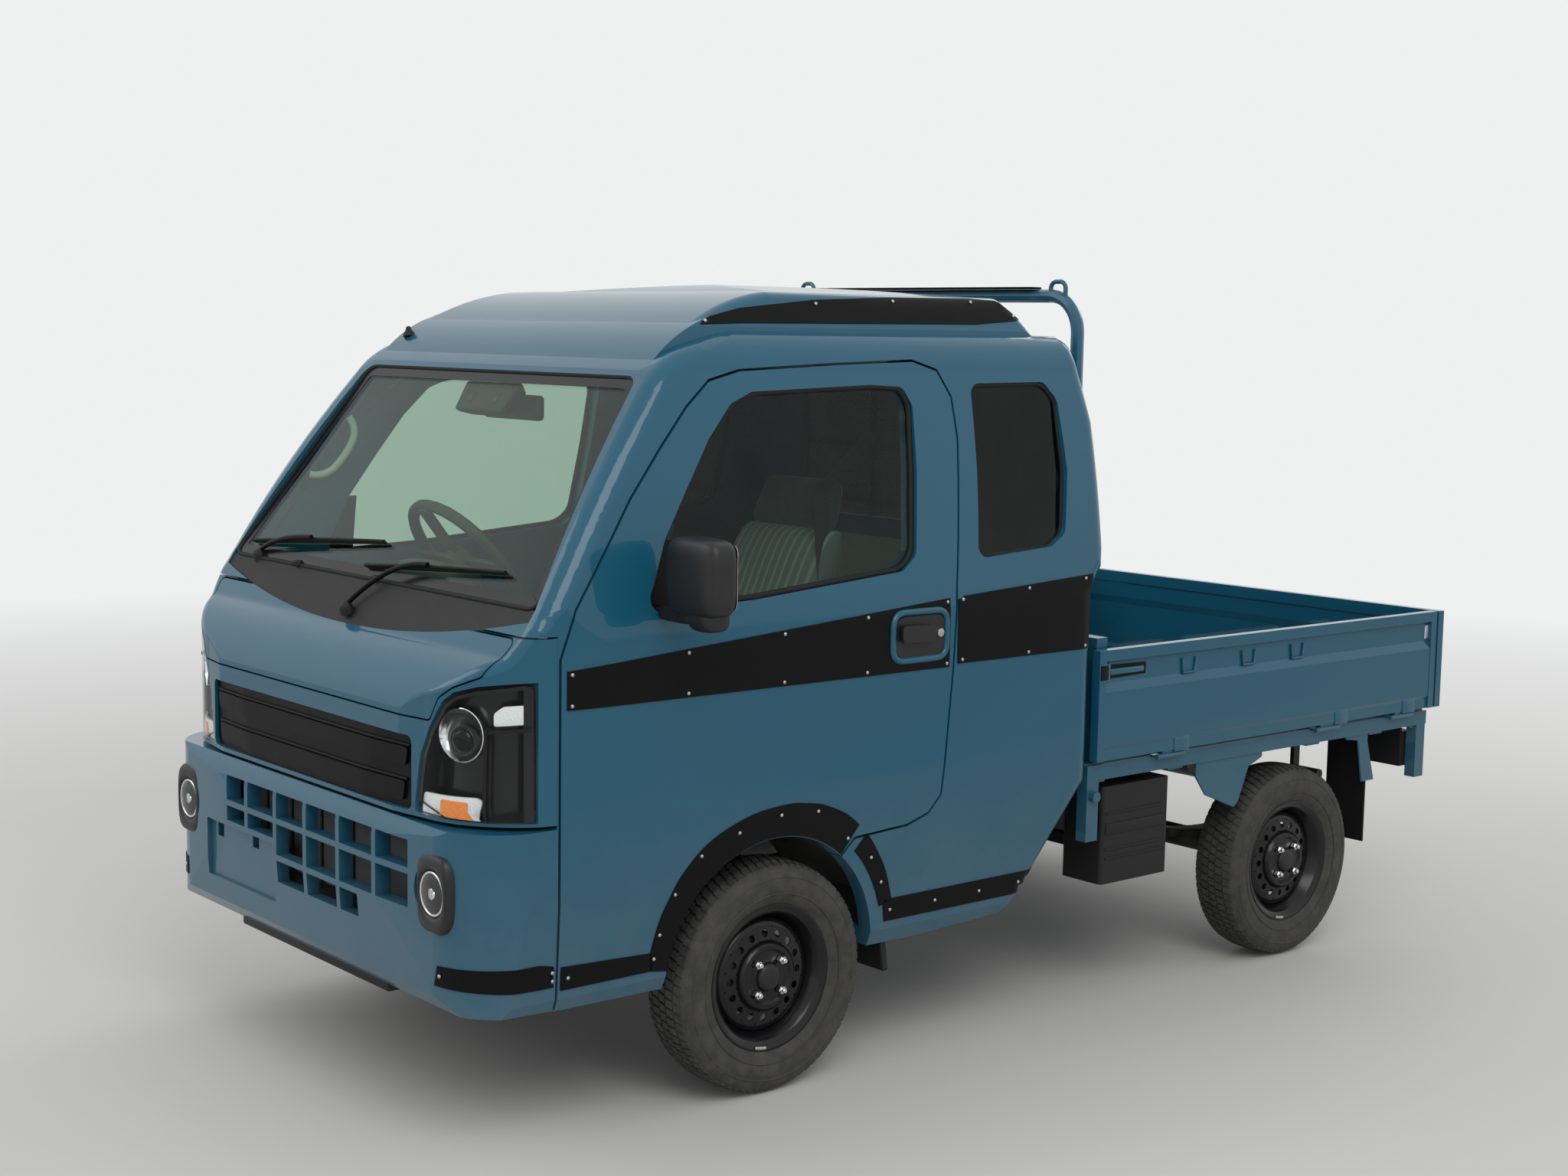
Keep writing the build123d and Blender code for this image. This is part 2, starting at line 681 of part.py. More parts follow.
# Dashboard and steering wheel, which is on the truck's right
wheel_hub = Vector(-330.0, y_at(-170.0), 1150.0)
wheel_lean = 52.0
wheel_ring_radius = 178.0
wheel_grip_radius = 14.0
wheel_boss_radius = 48.0
wheel_boss_depth = 46.0
wheel_spoke_width = 40.0
wheel_spoke_thick = 14.0
column_radius = 22.0
column_length = 320.0
column_plane = Plane(
    origin=wheel_hub, x_dir=(1, 0, 0),
    z_dir=(0, sin(radians(wheel_lean)), cos(radians(wheel_lean))),
)
dash_half = 640.0
dash_line = [
    (y_at(-600.0), 1080.0), (y_at(-470.0), 1090.0), (y_at(-400.0), 1050.0), (y_at(-385.0), 980.0),
    (y_at(-440.0), 840.0), (y_at(-520.0), 720.0), (y_at(-650.0), 720.0), (y_at(-690.0), 960.0),
]
dash_corner = 22.0
with BuildPart() as dashboard:
    with BuildSketch(Plane.YZ):
        with BuildLine():
            Polyline(*dash_line, close=True)
        make_face()
        dash_sketch_corners = vertices()
        fillet(dash_sketch_corners, radius=dash_corner)
    extrude(amount=dash_half, both=True)
    add(three_views(cab_side_shares, cab_front_shares, cab_plan_shares, cab_wall + seat_gap),
        mode=Mode.INTERSECT)
    with BuildSketch(column_plane.offset(-wheel_boss_depth)):
        Circle(column_radius + seat_gap)
    extrude(amount=-(column_length - wheel_boss_depth + seat_gap), mode=Mode.SUBTRACT)
finish("dashboard", dashboard.part)

with BuildPart() as steering_wheel:
    ring_rows = [(-1.0, -0.4), (-0.5, -1.0), (0.5, -1.0), (1.0, -0.4)]
    add(turned(
        [(up * wheel_grip_radius, wheel_ring_radius - out * wheel_grip_radius) for up, out in ring_rows],
        column_plane))
    add(turned(
        [(up * wheel_grip_radius, wheel_ring_radius + out * wheel_grip_radius) for up, out in ring_rows],
        column_plane), mode=Mode.SUBTRACT)
    with BuildSketch(column_plane.offset(-wheel_boss_depth)):
        Circle(wheel_boss_radius)
    extrude(amount=wheel_boss_depth)
    with BuildSketch(column_plane.offset(-wheel_boss_depth / 2)):
        Rectangle(2 * wheel_ring_radius, wheel_spoke_width)
        with Locations((0, -wheel_ring_radius / 2)):
            Rectangle(wheel_spoke_width, wheel_ring_radius)
    extrude(amount=wheel_spoke_thick)
    with BuildSketch(column_plane.offset(-wheel_boss_depth)):
        Circle(column_radius)
    extrude(amount=-(column_length - wheel_boss_depth))
finish("steering_wheel", steering_wheel.part)

# Seats: cushion and high back, one closed solid each
seat_x = 335.0
seat_half = 235.0
seat_line = [
    (y_at(-300.0), 690.0), (y_at(-305.0), 815.0), (y_at(-250.0), 850.0), (y_at(80.0), 815.0),
    (y_at(130.0), 860.0), (y_at(300.0), 1250.0), (y_at(360.0), 1400.0), (y_at(430.0), 1400.0),
    (y_at(440.0), 1280.0), (y_at(280.0), 760.0), (y_at(250.0), 690.0),
]
seat_corner = 22.0
seat_foot_size = (300.0, 360.0)
with BuildPart() as seats:
    for side in sides:
        with BuildSketch(Plane.YZ.offset(side * seat_x - seat_half)):
            with BuildLine():
                Polyline(*seat_line, close=True)
            make_face()
            fillet(vertices(), radius=seat_corner)
        extrude(amount=2 * seat_half)
        with BuildSketch(Plane.XY.offset(pan_line[4][1] + floor_thick / 2 + seat_gap)):
            with Locations((side * seat_x, y_at(-40.0))):
                Rectangle(*seat_foot_size)
        extrude(amount=seat_line[0][1] - pan_line[4][1] - floor_thick / 2)
finish("seats", seats.part)

# Ladder frame
rail_x = 340.0
rail_width = 50.0
rail_depth = 75.0
rail_line = [
    (y_at(-690.0), 400.0), (y_at(1330.0), 400.0), (y_at(1560.0), 555.0), (y_at(2490.0), 555.0),
]
cross_width = 60.0
cross_depth = 50.0
cross_places = [
    (y_at(-650.0), 400.0), (y_at(-230.0), 400.0), (y_at(860.0), 400.0), (y_at(1130.0), 400.0),
    (y_at(1640.0), 555.0), (y_at(2150.0), 555.0), (y_at(2455.0), 555.0),
]
tow_eye_radius = 14.0
tow_eye_thick = 12.0
tow_eye_y = y_at(-690.0)
tow_eye_z = 284.0
tow_tongue_width = 44.0
with BuildPart() as chassis_frame:
    for side in sides:
        with BuildSketch(Plane.YZ.offset(side * rail_x - rail_width / 2)):
            with BuildLine():
                top = [(y, z + rail_depth / 2) for y, z in rail_line]
                low = [(y, z - rail_depth / 2) for y, z in reversed(rail_line)]
                Polyline(*top, *low, close=True)
            make_face()
        extrude(amount=rail_width)
    for cross_y, cross_z in cross_places:
        with Locations((0, cross_y, cross_z)):
            Box(2 * rail_x, cross_width, cross_depth)
    with BuildSketch(Plane.YZ.offset(-tow_eye_thick / 2)):
        with Locations(((tow_eye_y + cross_places[0][0]) / 2, (tow_eye_z + cross_places[0][1]) / 2)):
            Rectangle(tow_tongue_width, cross_places[0][1] - tow_eye_z)
        with Locations((tow_eye_y, tow_eye_z)):
            Circle(3 * tow_eye_radius)
            Circle(tow_eye_radius, mode=Mode.SUBTRACT)
    extrude(amount=tow_eye_thick)
finish("chassis_frame", chassis_frame.part)

# Bed: floor, subframe, guard frame and three drop gates
floor_top_z = 650.0
floor_sheet = 18.0
bed_front_y = y_at(1046.0)
bed_tail_y = y_at(2538.0)
bed_half = 700.0
niche_front_y = y_at(560.0)
niche_half = 640.0
gate_low_z = 654.0
gate_top_z = 943.0
gate_thick = 26.0
gate_gap = 6.0
gate_hinge_x = 729.0
gate_hinge_z = 641.0
gate_knuckle_radius = 7.0
gate_knuckle_length = 60.0
gate_knuckle_shares = (0.20, 0.66, 0.90)
tail_knuckle_share = 0.7
fixed_knuckle_length = 24.0
fixed_knuckle_reach = 22.0
side_gate_low_y = bed_front_y + gate_gap
side_gate_high_y = bed_tail_y - gate_gap / 2
tail_hinge_y = tail_y - (half_width - gate_hinge_x)
rib_pitch = 70.0
rib_height = 5.0
rib_width = 34.0
with BuildPart() as bed_floor:
    with BuildSketch(Plane.XY.offset(floor_top_z - floor_sheet)):
        with BuildLine():
            Polyline(
                (-niche_half, niche_front_y), (niche_half, niche_front_y), (niche_half, bed_front_y),
                (bed_half, bed_front_y), (bed_half, bed_tail_y), (-bed_half, bed_tail_y),
                (-bed_half, bed_front_y), (-niche_half, bed_front_y), close=True)
        make_face()
    extrude(amount=floor_sheet - rib_height)
    with BuildSketch(Plane.XY.offset(floor_top_z - rib_height)):
        with Locations((0, (niche_front_y + bed_tail_y) / 2)):
            with GridLocations(rib_pitch, 0, int(2 * niche_half // rib_pitch), 1):
                Rectangle(rib_width, bed_tail_y - niche_front_y - rib_pitch)
    extrude(amount=rib_height)
finish("bed_floor", bed_floor.part)

beam_low_z = rail_line[2][1] + rail_depth / 2 + seat_gap
beam_top_z = floor_top_z - floor_sheet - seat_gap
skirt_x = 712.0
skirt_thick = 14.0
skirt_lip = 4.0
skirt_low_z = 600.0
beam_width = 60.0
beam_places = [y_at(d) for d in (1090.0, 1400.0, 1700.0, 2000.0, 2300.0, 2500.0)]
corner_post_size = (34.0, 44.0, 190.0)
stopper_radius = 15.0


def side_knuckle_y(share):
    """The middle of one hinge knuckle along a side gate."""
    return side_gate_low_y + share * (side_gate_high_y - side_gate_low_y)


def fixed_knuckle(hinge, start, inwards):
    """One knuckle of a gate's hinge that belongs to the frame, with the arm that carries it."""
    with BuildPart() as knuckle:
        with BuildSketch(Plane(origin=start, x_dir=inwards, z_dir=hinge)):
            RegularPolygon(gate_knuckle_radius, rod_sides)
            with Locations((fixed_knuckle_reach / 2, 0)):
                Rectangle(fixed_knuckle_reach, gate_knuckle_radius)
        extrude(amount=fixed_knuckle_length)
    return knuckle.part


with BuildPart() as bed_frame:
    for beam_y in beam_places:
        add(block_between(
            (-skirt_x + skirt_thick / 2, beam_y - beam_width / 2, beam_low_z),
            (skirt_x - skirt_thick / 2, beam_y + beam_width / 2, beam_top_z)))
    for side in sides:
        low_x, high_x = sorted((side * (bed_half + seat_gap), side * skirt_x))
        add(block_between(
            (low_x, bed_front_y, skirt_low_z), (high_x, bed_tail_y, gate_hinge_z)))
        low_x, high_x = sorted((side * (skirt_x - corner_post_size[0]), side * skirt_x))
        for post_y in (bed_front_y, bed_tail_y - corner_post_size[1]):
            add(block_between(
                (low_x, post_y, beam_top_z - corner_post_size[2]),
                (high_x, post_y + corner_post_size[1], beam_top_z)))
        with BuildSketch(Plane.YZ.offset(side * skirt_x)):
            with Locations((bed_front_y + corner_post_size[1] / 2, 560.0)):
                RegularPolygon(stopper_radius, rod_sides)
        extrude(amount=side * stopper_radius)
    add(block_between(
        (-skirt_x, bed_tail_y + seat_gap, skirt_low_z), (skirt_x, bed_tail_y + skirt_lip, gate_hinge_z)))
    add(block_between(
        (-skirt_x, bed_tail_y - skirt_thick, skirt_low_z), (skirt_x, bed_tail_y + skirt_lip, beam_top_z)))
    knuckle_step = gate_knuckle_length / 2 + seat_gap
    for side in sides:
        for share in gate_knuckle_shares:
            for end in (-1, 1):
                start = (side * gate_hinge_x, side_knuckle_y(share) + end * knuckle_step, gate_hinge_z)
                add(fixed_knuckle((0, end, 0), start, (-side, 0, 0)))
        for end in (-1, 1):
            start_x = side * tail_knuckle_share * half_width + end * knuckle_step
            add(fixed_knuckle((end, 0, 0), (start_x, tail_hinge_y, gate_hinge_z), (0, -1, 0)))
finish("bed_frame", bed_frame.part)

# Guard frame behind the cab: corner posts, a hoop with its beam and two rope loops
guard_y = cab_back_y + 26.0
hoop_radius = 17.0
hoop_half = 572.0
hoop_top_z = 1842.0
hoop_corner = 95.0
guard_post_half = 20.0
guard_post_x = 672.0
guard_beam_z = 968.0
loop_x = 500.0
loop_half = 26.0
loop_radius = 6.0
guard_rod_radius = 8.0
guard_rod_zs = (1260.0, 1420.0)
guard_upright_x = 200.0
post_low_z = floor_top_z - rib_height + seat_gap
with BuildPart() as guard_frame:
    for side in sides:
        add(block_between(
            (side * guard_post_x - guard_post_half, guard_y - guard_post_half, post_low_z),
            (side * guard_post_x + guard_post_half, guard_y + guard_post_half, guard_beam_z)))
    add(block_between(
        (-guard_post_x, guard_y - guard_post_half, guard_beam_z - 2 * guard_post_half),
        (guard_post_x, guard_y + guard_post_half, guard_beam_z)))
    with BuildLine(Plane.XZ.offset(-guard_y)) as hoop:
        FilletPolyline(
            (-hoop_half, guard_beam_z - guard_post_half), (-hoop_half, hoop_top_z),
            (hoop_half, hoop_top_z), (hoop_half, guard_beam_z - guard_post_half), radius=hoop_corner)
    with BuildSketch(Plane(origin=hoop.line @ 0, z_dir=hoop.line % 0)):
        RegularPolygon(hoop_radius, rod_sides)
    sweep()
    loop_top = overall_height - loop_radius
    for side in sides:
        with BuildLine(Plane.XZ.offset(-guard_y), mode=Mode.PRIVATE) as loop:
            FilletPolyline(
                (side * loop_x - loop_half, hoop_top_z), (side * loop_x - loop_half, loop_top),
                (side * loop_x + loop_half, loop_top), (side * loop_x + loop_half, hoop_top_z),
                radius=3 * loop_radius)
        with BuildSketch(Plane(origin=loop.line @ 0, z_dir=loop.line % 0), mode=Mode.PRIVATE) as ring:
            RegularPolygon(loop_radius, rod_sides)
        add(sweep(ring.sketch, path=loop.line, mode=Mode.PRIVATE))
    for side in sides:
        with BuildSketch(Plane.XY.offset(guard_beam_z - guard_post_half)):
            with Locations((side * guard_upright_x, guard_y)):
                RegularPolygon(guard_rod_radius, rod_sides)
        extrude(amount=hoop_top_z - guard_beam_z + guard_post_half)
    for rod_z in guard_rod_zs:
        with BuildSketch(Plane.YZ.offset(-hoop_half)):
            with Locations((guard_y, rod_z)):
                RegularPolygon(guard_rod_radius, rod_sides)
        extrude(amount=2 * hoop_half)
finish("guard_frame", guard_frame.part)

# Gate section, columns: depth in from the outer face, height; the lower bead and the top rail show
gate_height = gate_top_z - gate_low_z
gate_outer_shares = [
    (0.22, 0.0), (0.22, 0.10), (0.05, 0.13), (0.05, 0.62), (0.45, 0.70), (0.45, 0.88), (0.0, 0.90),
    (0.0, 1.0),
]
gate_inner_shares = [
    (1.0, 1.0), (1.0, 0.88), (0.80, 0.86), (0.80, 0.70), (0.50, 0.62), (0.50, 0.13), (1.0, 0.10),
    (1.0, 0.0),
]
tail_inner_y = tail_y - gate_thick
for side in sides:
    with BuildPart() as gate:
        with BuildSketch(Plane.XZ.offset(-side_gate_high_y)):
            with BuildLine():
                rows = [
                    (side * (half_width - depth * gate_thick), gate_low_z + up * gate_height)
                    for depth, up in gate_outer_shares + gate_inner_shares
                ]
                Polyline(*rows, close=True)
            make_face()
        extrude(amount=side_gate_high_y - side_gate_low_y)
        for low_y in (side_gate_low_y, side_gate_high_y - gate_thick):
            low_x, high_x = sorted((side * (half_width - gate_thick), side * half_width))
            add(block_between((low_x, low_y, gate_low_z), (high_x, low_y + gate_thick, gate_top_z)))
        for share in gate_knuckle_shares:
            with BuildSketch(Plane.XZ.offset(-(side_knuckle_y(share) + gate_knuckle_length / 2))):
                with Locations((side * gate_hinge_x, gate_hinge_z)):
                    RegularPolygon(gate_knuckle_radius, rod_sides)
                leaf_x = side * (gate_hinge_x - gate_knuckle_radius / 2)
                with Locations((leaf_x, gate_hinge_z + gate_thick / 2)):
                    Rectangle(gate_knuckle_radius, gate_thick)
            extrude(amount=gate_knuckle_length)
    finish(f"gate_{side_names[side]}", gate.part)

with BuildPart() as tailgate:
    with BuildSketch(Plane.YZ.offset(-half_width)):
        with BuildLine():
            rows = [
                (tail_y - depth * gate_thick, gate_low_z + up * gate_height)
                for depth, up in gate_outer_shares + gate_inner_shares
            ]
            Polyline(*rows, close=True)
        make_face()
    extrude(amount=2 * half_width)
    for side in sides:
        low_x, high_x = sorted((side * (half_width - gate_thick), side * half_width))
        add(block_between((low_x, tail_inner_y, gate_low_z), (high_x, tail_y, gate_top_z)))
        knuckle_x = side * tail_knuckle_share * half_width
        with BuildSketch(Plane.YZ.offset(knuckle_x - gate_knuckle_length / 2)):
            with Locations((tail_hinge_y, gate_hinge_z)):
                RegularPolygon(gate_knuckle_radius, rod_sides)
            with Locations((tail_hinge_y - gate_knuckle_radius / 2, gate_hinge_z + gate_thick / 2)):
                Rectangle(gate_knuckle_radius, gate_thick)
        extrude(amount=gate_knuckle_length)
finish("tailgate", tailgate.part)

# Wheels and tyres; in each table a place outwards from the wheel's middle plane, and a radius
tyre_radius = 270.5
hub_bore_clearance = 0.05
spindle_radius = 20.0
spindle_reach = 60.0
spindle_short = 2.0
drum_back = -38.0
nut_circle = 50.0
nut_count = 4
nut_radius = 10.5
nut_sides = 6
vent_count = 16
vent_circle = 99.0
vent_radius = 8.0
axle_z = tyre_radius

rim_rows = [
    (-57.0, 169.5), (-53.0, 169.5), (-47.0, 152.4), (-24.0, 134.0), (14.0, 134.0), (47.0, 152.4),
    (53.0, 169.5), (57.0, 169.5),
]
rim_hollow_rows = [
    (-58.0, 167.0), (-51.0, 148.4), (-26.0, 130.0), (16.0, 130.0), (51.0, 148.4), (58.0, 167.0),
]
pan_rows = [(2.0, 131.0), (24.0, 127.0), (30.0, 116.0)]
pan_hollow_rows = [(0.0, 127.0), (20.0, 123.0), (26.0, 112.0)]
drum_rows = [(drum_back, 96.0), (20.0, 96.0)]
hub_rows = [(19.0, 82.0), (40.0, 80.0), (46.0, 72.0)]
cap_rows = [(45.0, 27.0), (56.0, 24.0)]
nut_rows = (45.0, 58.0)
tyre_rows = [
    (-72.5, 226.0), (-66.0, 252.0), (-50.0, tyre_radius), (50.0, tyre_radius), (66.0, 252.0),
    (72.5, 226.0),
]
tyre_hollow_rows = [
    (-73.5, 218.0), (-52.0, 171.0), (-46.0, 152.8), (46.0, 152.8), (52.0, 171.0), (73.5, 218.0),
]


def disc_cut(plane, circle, radius, count, corner_count, low, high):
    """Prisms in a ring about a wheel's axle, between two places outwards from its middle."""
    with BuildPart() as cutters:
        with BuildSketch(plane.offset(low)):
            with PolarLocations(circle, count):
                RegularPolygon(radius, corner_count)
        extrude(amount=high - low)
    return cutters.part


wheel_places = [
    (f"{end}_{side_names[side]}", (side * track / 2, y, axle_z), side)
    for end, track, y in (("front", track_front, front_axle_y), ("rear", track_rear, rear_axle_y))
    for side in sides
]
for place_name, centre, side in wheel_places:
    wheel_plane = Plane(origin=centre, x_dir=(0, 1, 0), z_dir=(side, 0, 0))
    with BuildPart() as wheel:
        add(turned(rim_rows, wheel_plane))
        add(turned(rim_hollow_rows, wheel_plane), mode=Mode.SUBTRACT)
        add(turned(pan_rows, wheel_plane))
        add(turned(pan_hollow_rows, wheel_plane), mode=Mode.SUBTRACT)
        add(disc_cut(wheel_plane, vent_circle, vent_radius, vent_count, rod_sides, 0, rim_rows[-1][0]),
            mode=Mode.SUBTRACT)
        add(turned(drum_rows, wheel_plane))
        add(turned(hub_rows, wheel_plane))
        add(turned(cap_rows, wheel_plane))
        add(disc_cut(wheel_plane, nut_circle, nut_radius, nut_count, nut_sides, *nut_rows))
        with BuildSketch(wheel_plane.offset(drum_back)):
            Circle(spindle_radius + hub_bore_clearance)
        extrude(amount=spindle_reach, mode=Mode.SUBTRACT)
    finish(f"wheel_{place_name}", wheel.part)
    with BuildPart() as tyre:
        add(turned(tyre_rows, wheel_plane))
        add(turned(tyre_hollow_rows, wheel_plane), mode=Mode.SUBTRACT)
    finish(f"tyre_{place_name}", tyre.part)

# Front suspension: kingpin axis, knuckles that steer, cross beam, arms and struts
kingpin_x = 535.0
knuckle_half = 26.0
knuckle_low_z = 215.0
knuckle_top_z = 450.0
strut_radius = 24.0
rod_radius = 11.0
spring_radius = 46.0
spring_turns = 5
spring_wire = 10.0
cross_beam_z = 300.0
arm_thick = 28.0
arm_half = 45.0
ball_radius = 15.0
deck_low_z = pan_line[3][1] - floor_thick / 2
for side in sides:
    with BuildPart() as knuckle:
        with BuildSketch(Plane.XY.offset(knuckle_low_z)):
            with Locations((side * kingpin_x, front_axle_y)):
                Circle(strut_radius)
        extrude(amount=knuckle_top_z - knuckle_low_z)
        drum_x = track_front / 2 + drum_back
        low_x, high_x = sorted((side * kingpin_x, side * (drum_x - 2.0 * seat_gap)))
        add(block_between(
            (low_x, front_axle_y - knuckle_half, axle_z - knuckle_half),
            (high_x, front_axle_y + knuckle_half, axle_z + knuckle_half)))
        low_x, high_x = sorted((side * kingpin_x, side * (drum_x + spindle_reach - spindle_short)))
        with BuildSketch(Plane.YZ.offset(low_x)):
            with Locations((front_axle_y, axle_z)):
                Circle(spindle_radius)
        extrude(amount=high_x - low_x)
    finish(f"knuckle_{side_names[side]}", knuckle.part)

with BuildPart() as front_suspension:
    with Locations((0, front_axle_y, cross_beam_z)):
        Box(2 * rail_x + rail_width, 2 * arm_half, 2 * arm_half)
    for side in sides:
        low_x, high_x = sorted((side * (rail_x - rail_width / 2), side * kingpin_x))
        arm_top_z = knuckle_low_z - seat_gap
        add(block_between(
            (low_x, front_axle_y - arm_half / 2, arm_top_z - arm_thick),
            (high_x, front_axle_y + arm_half / 2, arm_top_z)))
        low_x, high_x = sorted((side * (rail_x - rail_width / 2), side * (rail_x + rail_width / 2)))
        add(block_between(
            (low_x, front_axle_y - arm_half, arm_top_z - arm_thick),
            (high_x, front_axle_y + arm_half, cross_beam_z)))
        add(block_between(
            (low_x, front_axle_y - arm_half, cross_beam_z),
            (high_x, front_axle_y + arm_half, rail_line[0][1] - rail_depth / 2)))
        with BuildSketch(Plane.XY.offset(knuckle_top_z + seat_gap)):
            with Locations((side * kingpin_x, front_axle_y)):
                Circle(rod_radius)
        extrude(amount=deck_low_z - knuckle_top_z - 2 * seat_gap)
        spring_low = knuckle_top_z + spring_wire
        pitch = (deck_low_z - seat_gap - spring_low) / spring_turns
        spring_rows = [(spring_low, spring_radius - spring_wire)]
        for turn in range(spring_turns):
            spring_rows += [
                (spring_low + (turn + 0.5) * pitch, spring_radius),
                (spring_low + (turn + 1.0) * pitch, spring_radius - spring_wire),
            ]
        add(turned(spring_rows, Plane(origin=(side * kingpin_x, front_axle_y, 0))))
finish("front_suspension", front_suspension.part)

# Rear axle on leaf springs
axle_tube_radius = 32.0
differential_radius = 105.0
differential_shares = [(-0.95, 0.3), (-0.7, 0.7), (-0.35, 0.95), (0.35, 0.95), (0.7, 0.7), (0.95, 0.3)]
spring_x = 440.0
leaf_half = 25.0
leaf_thick = 8.0
leaf_count = 3
spring_half_span = 460.0
spring_rise = 98.0
leaf_step = 110.0
eye_radius = 16.0
shackle_half = 14.0
leaf_radius = (spring_half_span ** 2 + spring_rise ** 2) / (2 * spring_rise)
leaf_centre_z = axle_z + axle_tube_radius + leaf_count * leaf_thick + leaf_radius
drum_face_x = track_rear / 2 + drum_back


def leaf_point(along, layer):
    """A point of the spring's side view on the upper face of one layer of leaves."""
    radius = leaf_radius + layer * leaf_thick
    return (rear_axle_y + along, leaf_centre_z - (radius ** 2 - along ** 2) ** 0.5)


def leaf_edge(start, end, layer):
    """An arc of that face between two distances from the axle."""
    ThreePointArc(leaf_point(start, layer), leaf_point((start + end) / 2, layer), leaf_point(end, layer))


with BuildPart() as rear_axle:
    tube_end = drum_face_x - 2 * seat_gap
    spindle_end = drum_face_x + spindle_reach - spindle_short
    axle_plane = Plane(origin=(0, rear_axle_y, axle_z), x_dir=(0, 1, 0), z_dir=(1, 0, 0))
    with BuildSketch(axle_plane.offset(-tube_end)):
        RegularPolygon(axle_tube_radius, turned_sides)
    extrude(amount=2 * tube_end)
    with BuildSketch(axle_plane.offset(-spindle_end)):
        Circle(spindle_radius)
    extrude(amount=2 * spindle_end)
    add(turned([(place * differential_radius, radius * differential_radius)
                for place, radius in differential_shares], axle_plane))
    for side in sides:
        with BuildSketch(Plane.YZ.offset(side * spring_x - leaf_half)):
            with BuildLine():
                leaf_edge(spring_half_span, -spring_half_span, 0)
                for leaf in range(leaf_count):
                    step_y = spring_half_span - leaf * leaf_step
                    next_y = step_y - leaf_step if leaf < leaf_count - 1 else 0.0
                    for end in (-1, 1):
                        Line(leaf_point(end * step_y, leaf), leaf_point(end * step_y, leaf + 1))
                        leaf_edge(end * step_y, end * next_y, leaf + 1)
            make_face()
        extrude(amount=2 * leaf_half)
        add(block_between(
            (side * spring_x - leaf_half, rear_axle_y - leaf_half, axle_z),
            (side * spring_x + leaf_half, rear_axle_y + leaf_half, axle_z + axle_tube_radius + leaf_thick)))
        for end in (-1, 1):
            eye_y = rear_axle_y + end * spring_half_span
            eye_z = axle_z + axle_tube_radius + leaf_count * leaf_thick + spring_rise
            rail_side = side * (rail_x + rail_width / 2 + seat_gap)
            reach = sorted((rail_side, side * (spring_x + leaf_half)))
            with BuildSketch(Plane.YZ.offset(reach[0])):
                with Locations((eye_y, eye_z)):
                    Circle(eye_radius)
            extrude(amount=reach[1] - reach[0])
            reach = sorted((rail_side, rail_side + side * shackle_half))
            add(block_between(
                (reach[0], eye_y - shackle_half, eye_z),
                (reach[1], eye_y + shackle_half, rail_line[2][1])))
finish("rear_axle", rear_axle.part)

# Engine and gearbox under the seats, with the shaft to the rear axle
engine_size = (420.0, 430.0, 300.0)
engine_centre = (0.0, y_at(270.0), 445.0)
gearbox_size = (220.0, 330.0, 210.0)
shaft_radius = 30.0
with BuildPart() as drivetrain:
    with Locations(engine_centre):
        Box(*engine_size)
    gearbox_y = engine_centre[1] + (engine_size[1] + gearbox_size[1]) / 2
    gearbox_z = 335.0
    with Locations((0, gearbox_y, gearbox_z)):
        Box(*gearbox_size)
    shaft_start = Vector(0, gearbox_y + gearbox_size[1] / 2, gearbox_z)
    differential_reach = differential_radius * max(radius for place, radius in differential_shares)
    shaft_end = Vector(0, rear_axle_y - differential_reach - seat_gap, axle_z)
    with BuildSketch(Plane(origin=shaft_start, z_dir=shaft_end - shaft_start)):
        Circle(shaft_radius)
    extrude(amount=(shaft_end - shaft_start).length - seat_gap)
finish("drivetrain", drivetrain.part)

# Underbody boxes: battery and air box, fuel tank, muffler, each hung from the frame
battery_low = (560.0, y_at(1122.0), 315.0)
battery_high = (700.0, y_at(1385.0), 575.0)
battery_corner = 12.0
hanger_y = y_at(1180.0)
hanger_thick = 30.0
hanger_low_z = 380.0
with BuildPart() as battery_box:
    add(block_between(battery_low, battery_high))
    fillet(battery_box.edges().filter_by(Axis.Z), radius=battery_corner)
    add(block_between(
        (rail_x + rail_width / 2 + seat_gap, hanger_y, hanger_low_z),
        (battery_low[0], hanger_y + hanger_thick, hanger_low_z + hanger_thick)))
finish("battery_box", battery_box.part)

tank_low = (-674.0, y_at(1100.0), 290.0)
tank_high = (-(rail_x + rail_width / 2 + seat_gap), y_at(1420.0), 520.0)
tank_corner = 28.0
with BuildPart() as fuel_tank:
    add(block_between(tank_low, tank_high))
    fillet(fuel_tank.edges().filter_by(Axis.Y), radius=tank_corner)
finish("fuel_tank", fuel_tank.part)

muffler_radius = 75.0
muffler_length = 420.0
muffler_centre = (-150.0, y_at(2300.0), 430.0)
pipe_radius = 19.0
pipe_x = -300.0
pipe_end_y = y_at(2500.0)
hanger_xs = (-290.0, -10.0)
hanger_radius = 8.0
with BuildPart() as muffler:
    with Locations(muffler_centre):
        Cylinder(muffler_radius, muffler_length, rotation=(0, 90, 0))
    with BuildSketch(Plane.XZ.offset(-muffler_centre[1])):
        with Locations((pipe_x, muffler_centre[2])):
            Circle(pipe_radius)
    extrude(amount=-(pipe_end_y - muffler_centre[1]))
    for hang_x in hanger_xs:
        with BuildSketch(Plane.XY.offset(muffler_centre[2])):
            with Locations((hang_x, muffler_centre[1])):
                Circle(hanger_radius)
        extrude(amount=beam_low_z - seat_gap - muffler_centre[2])
finish("muffler", muffler.part)

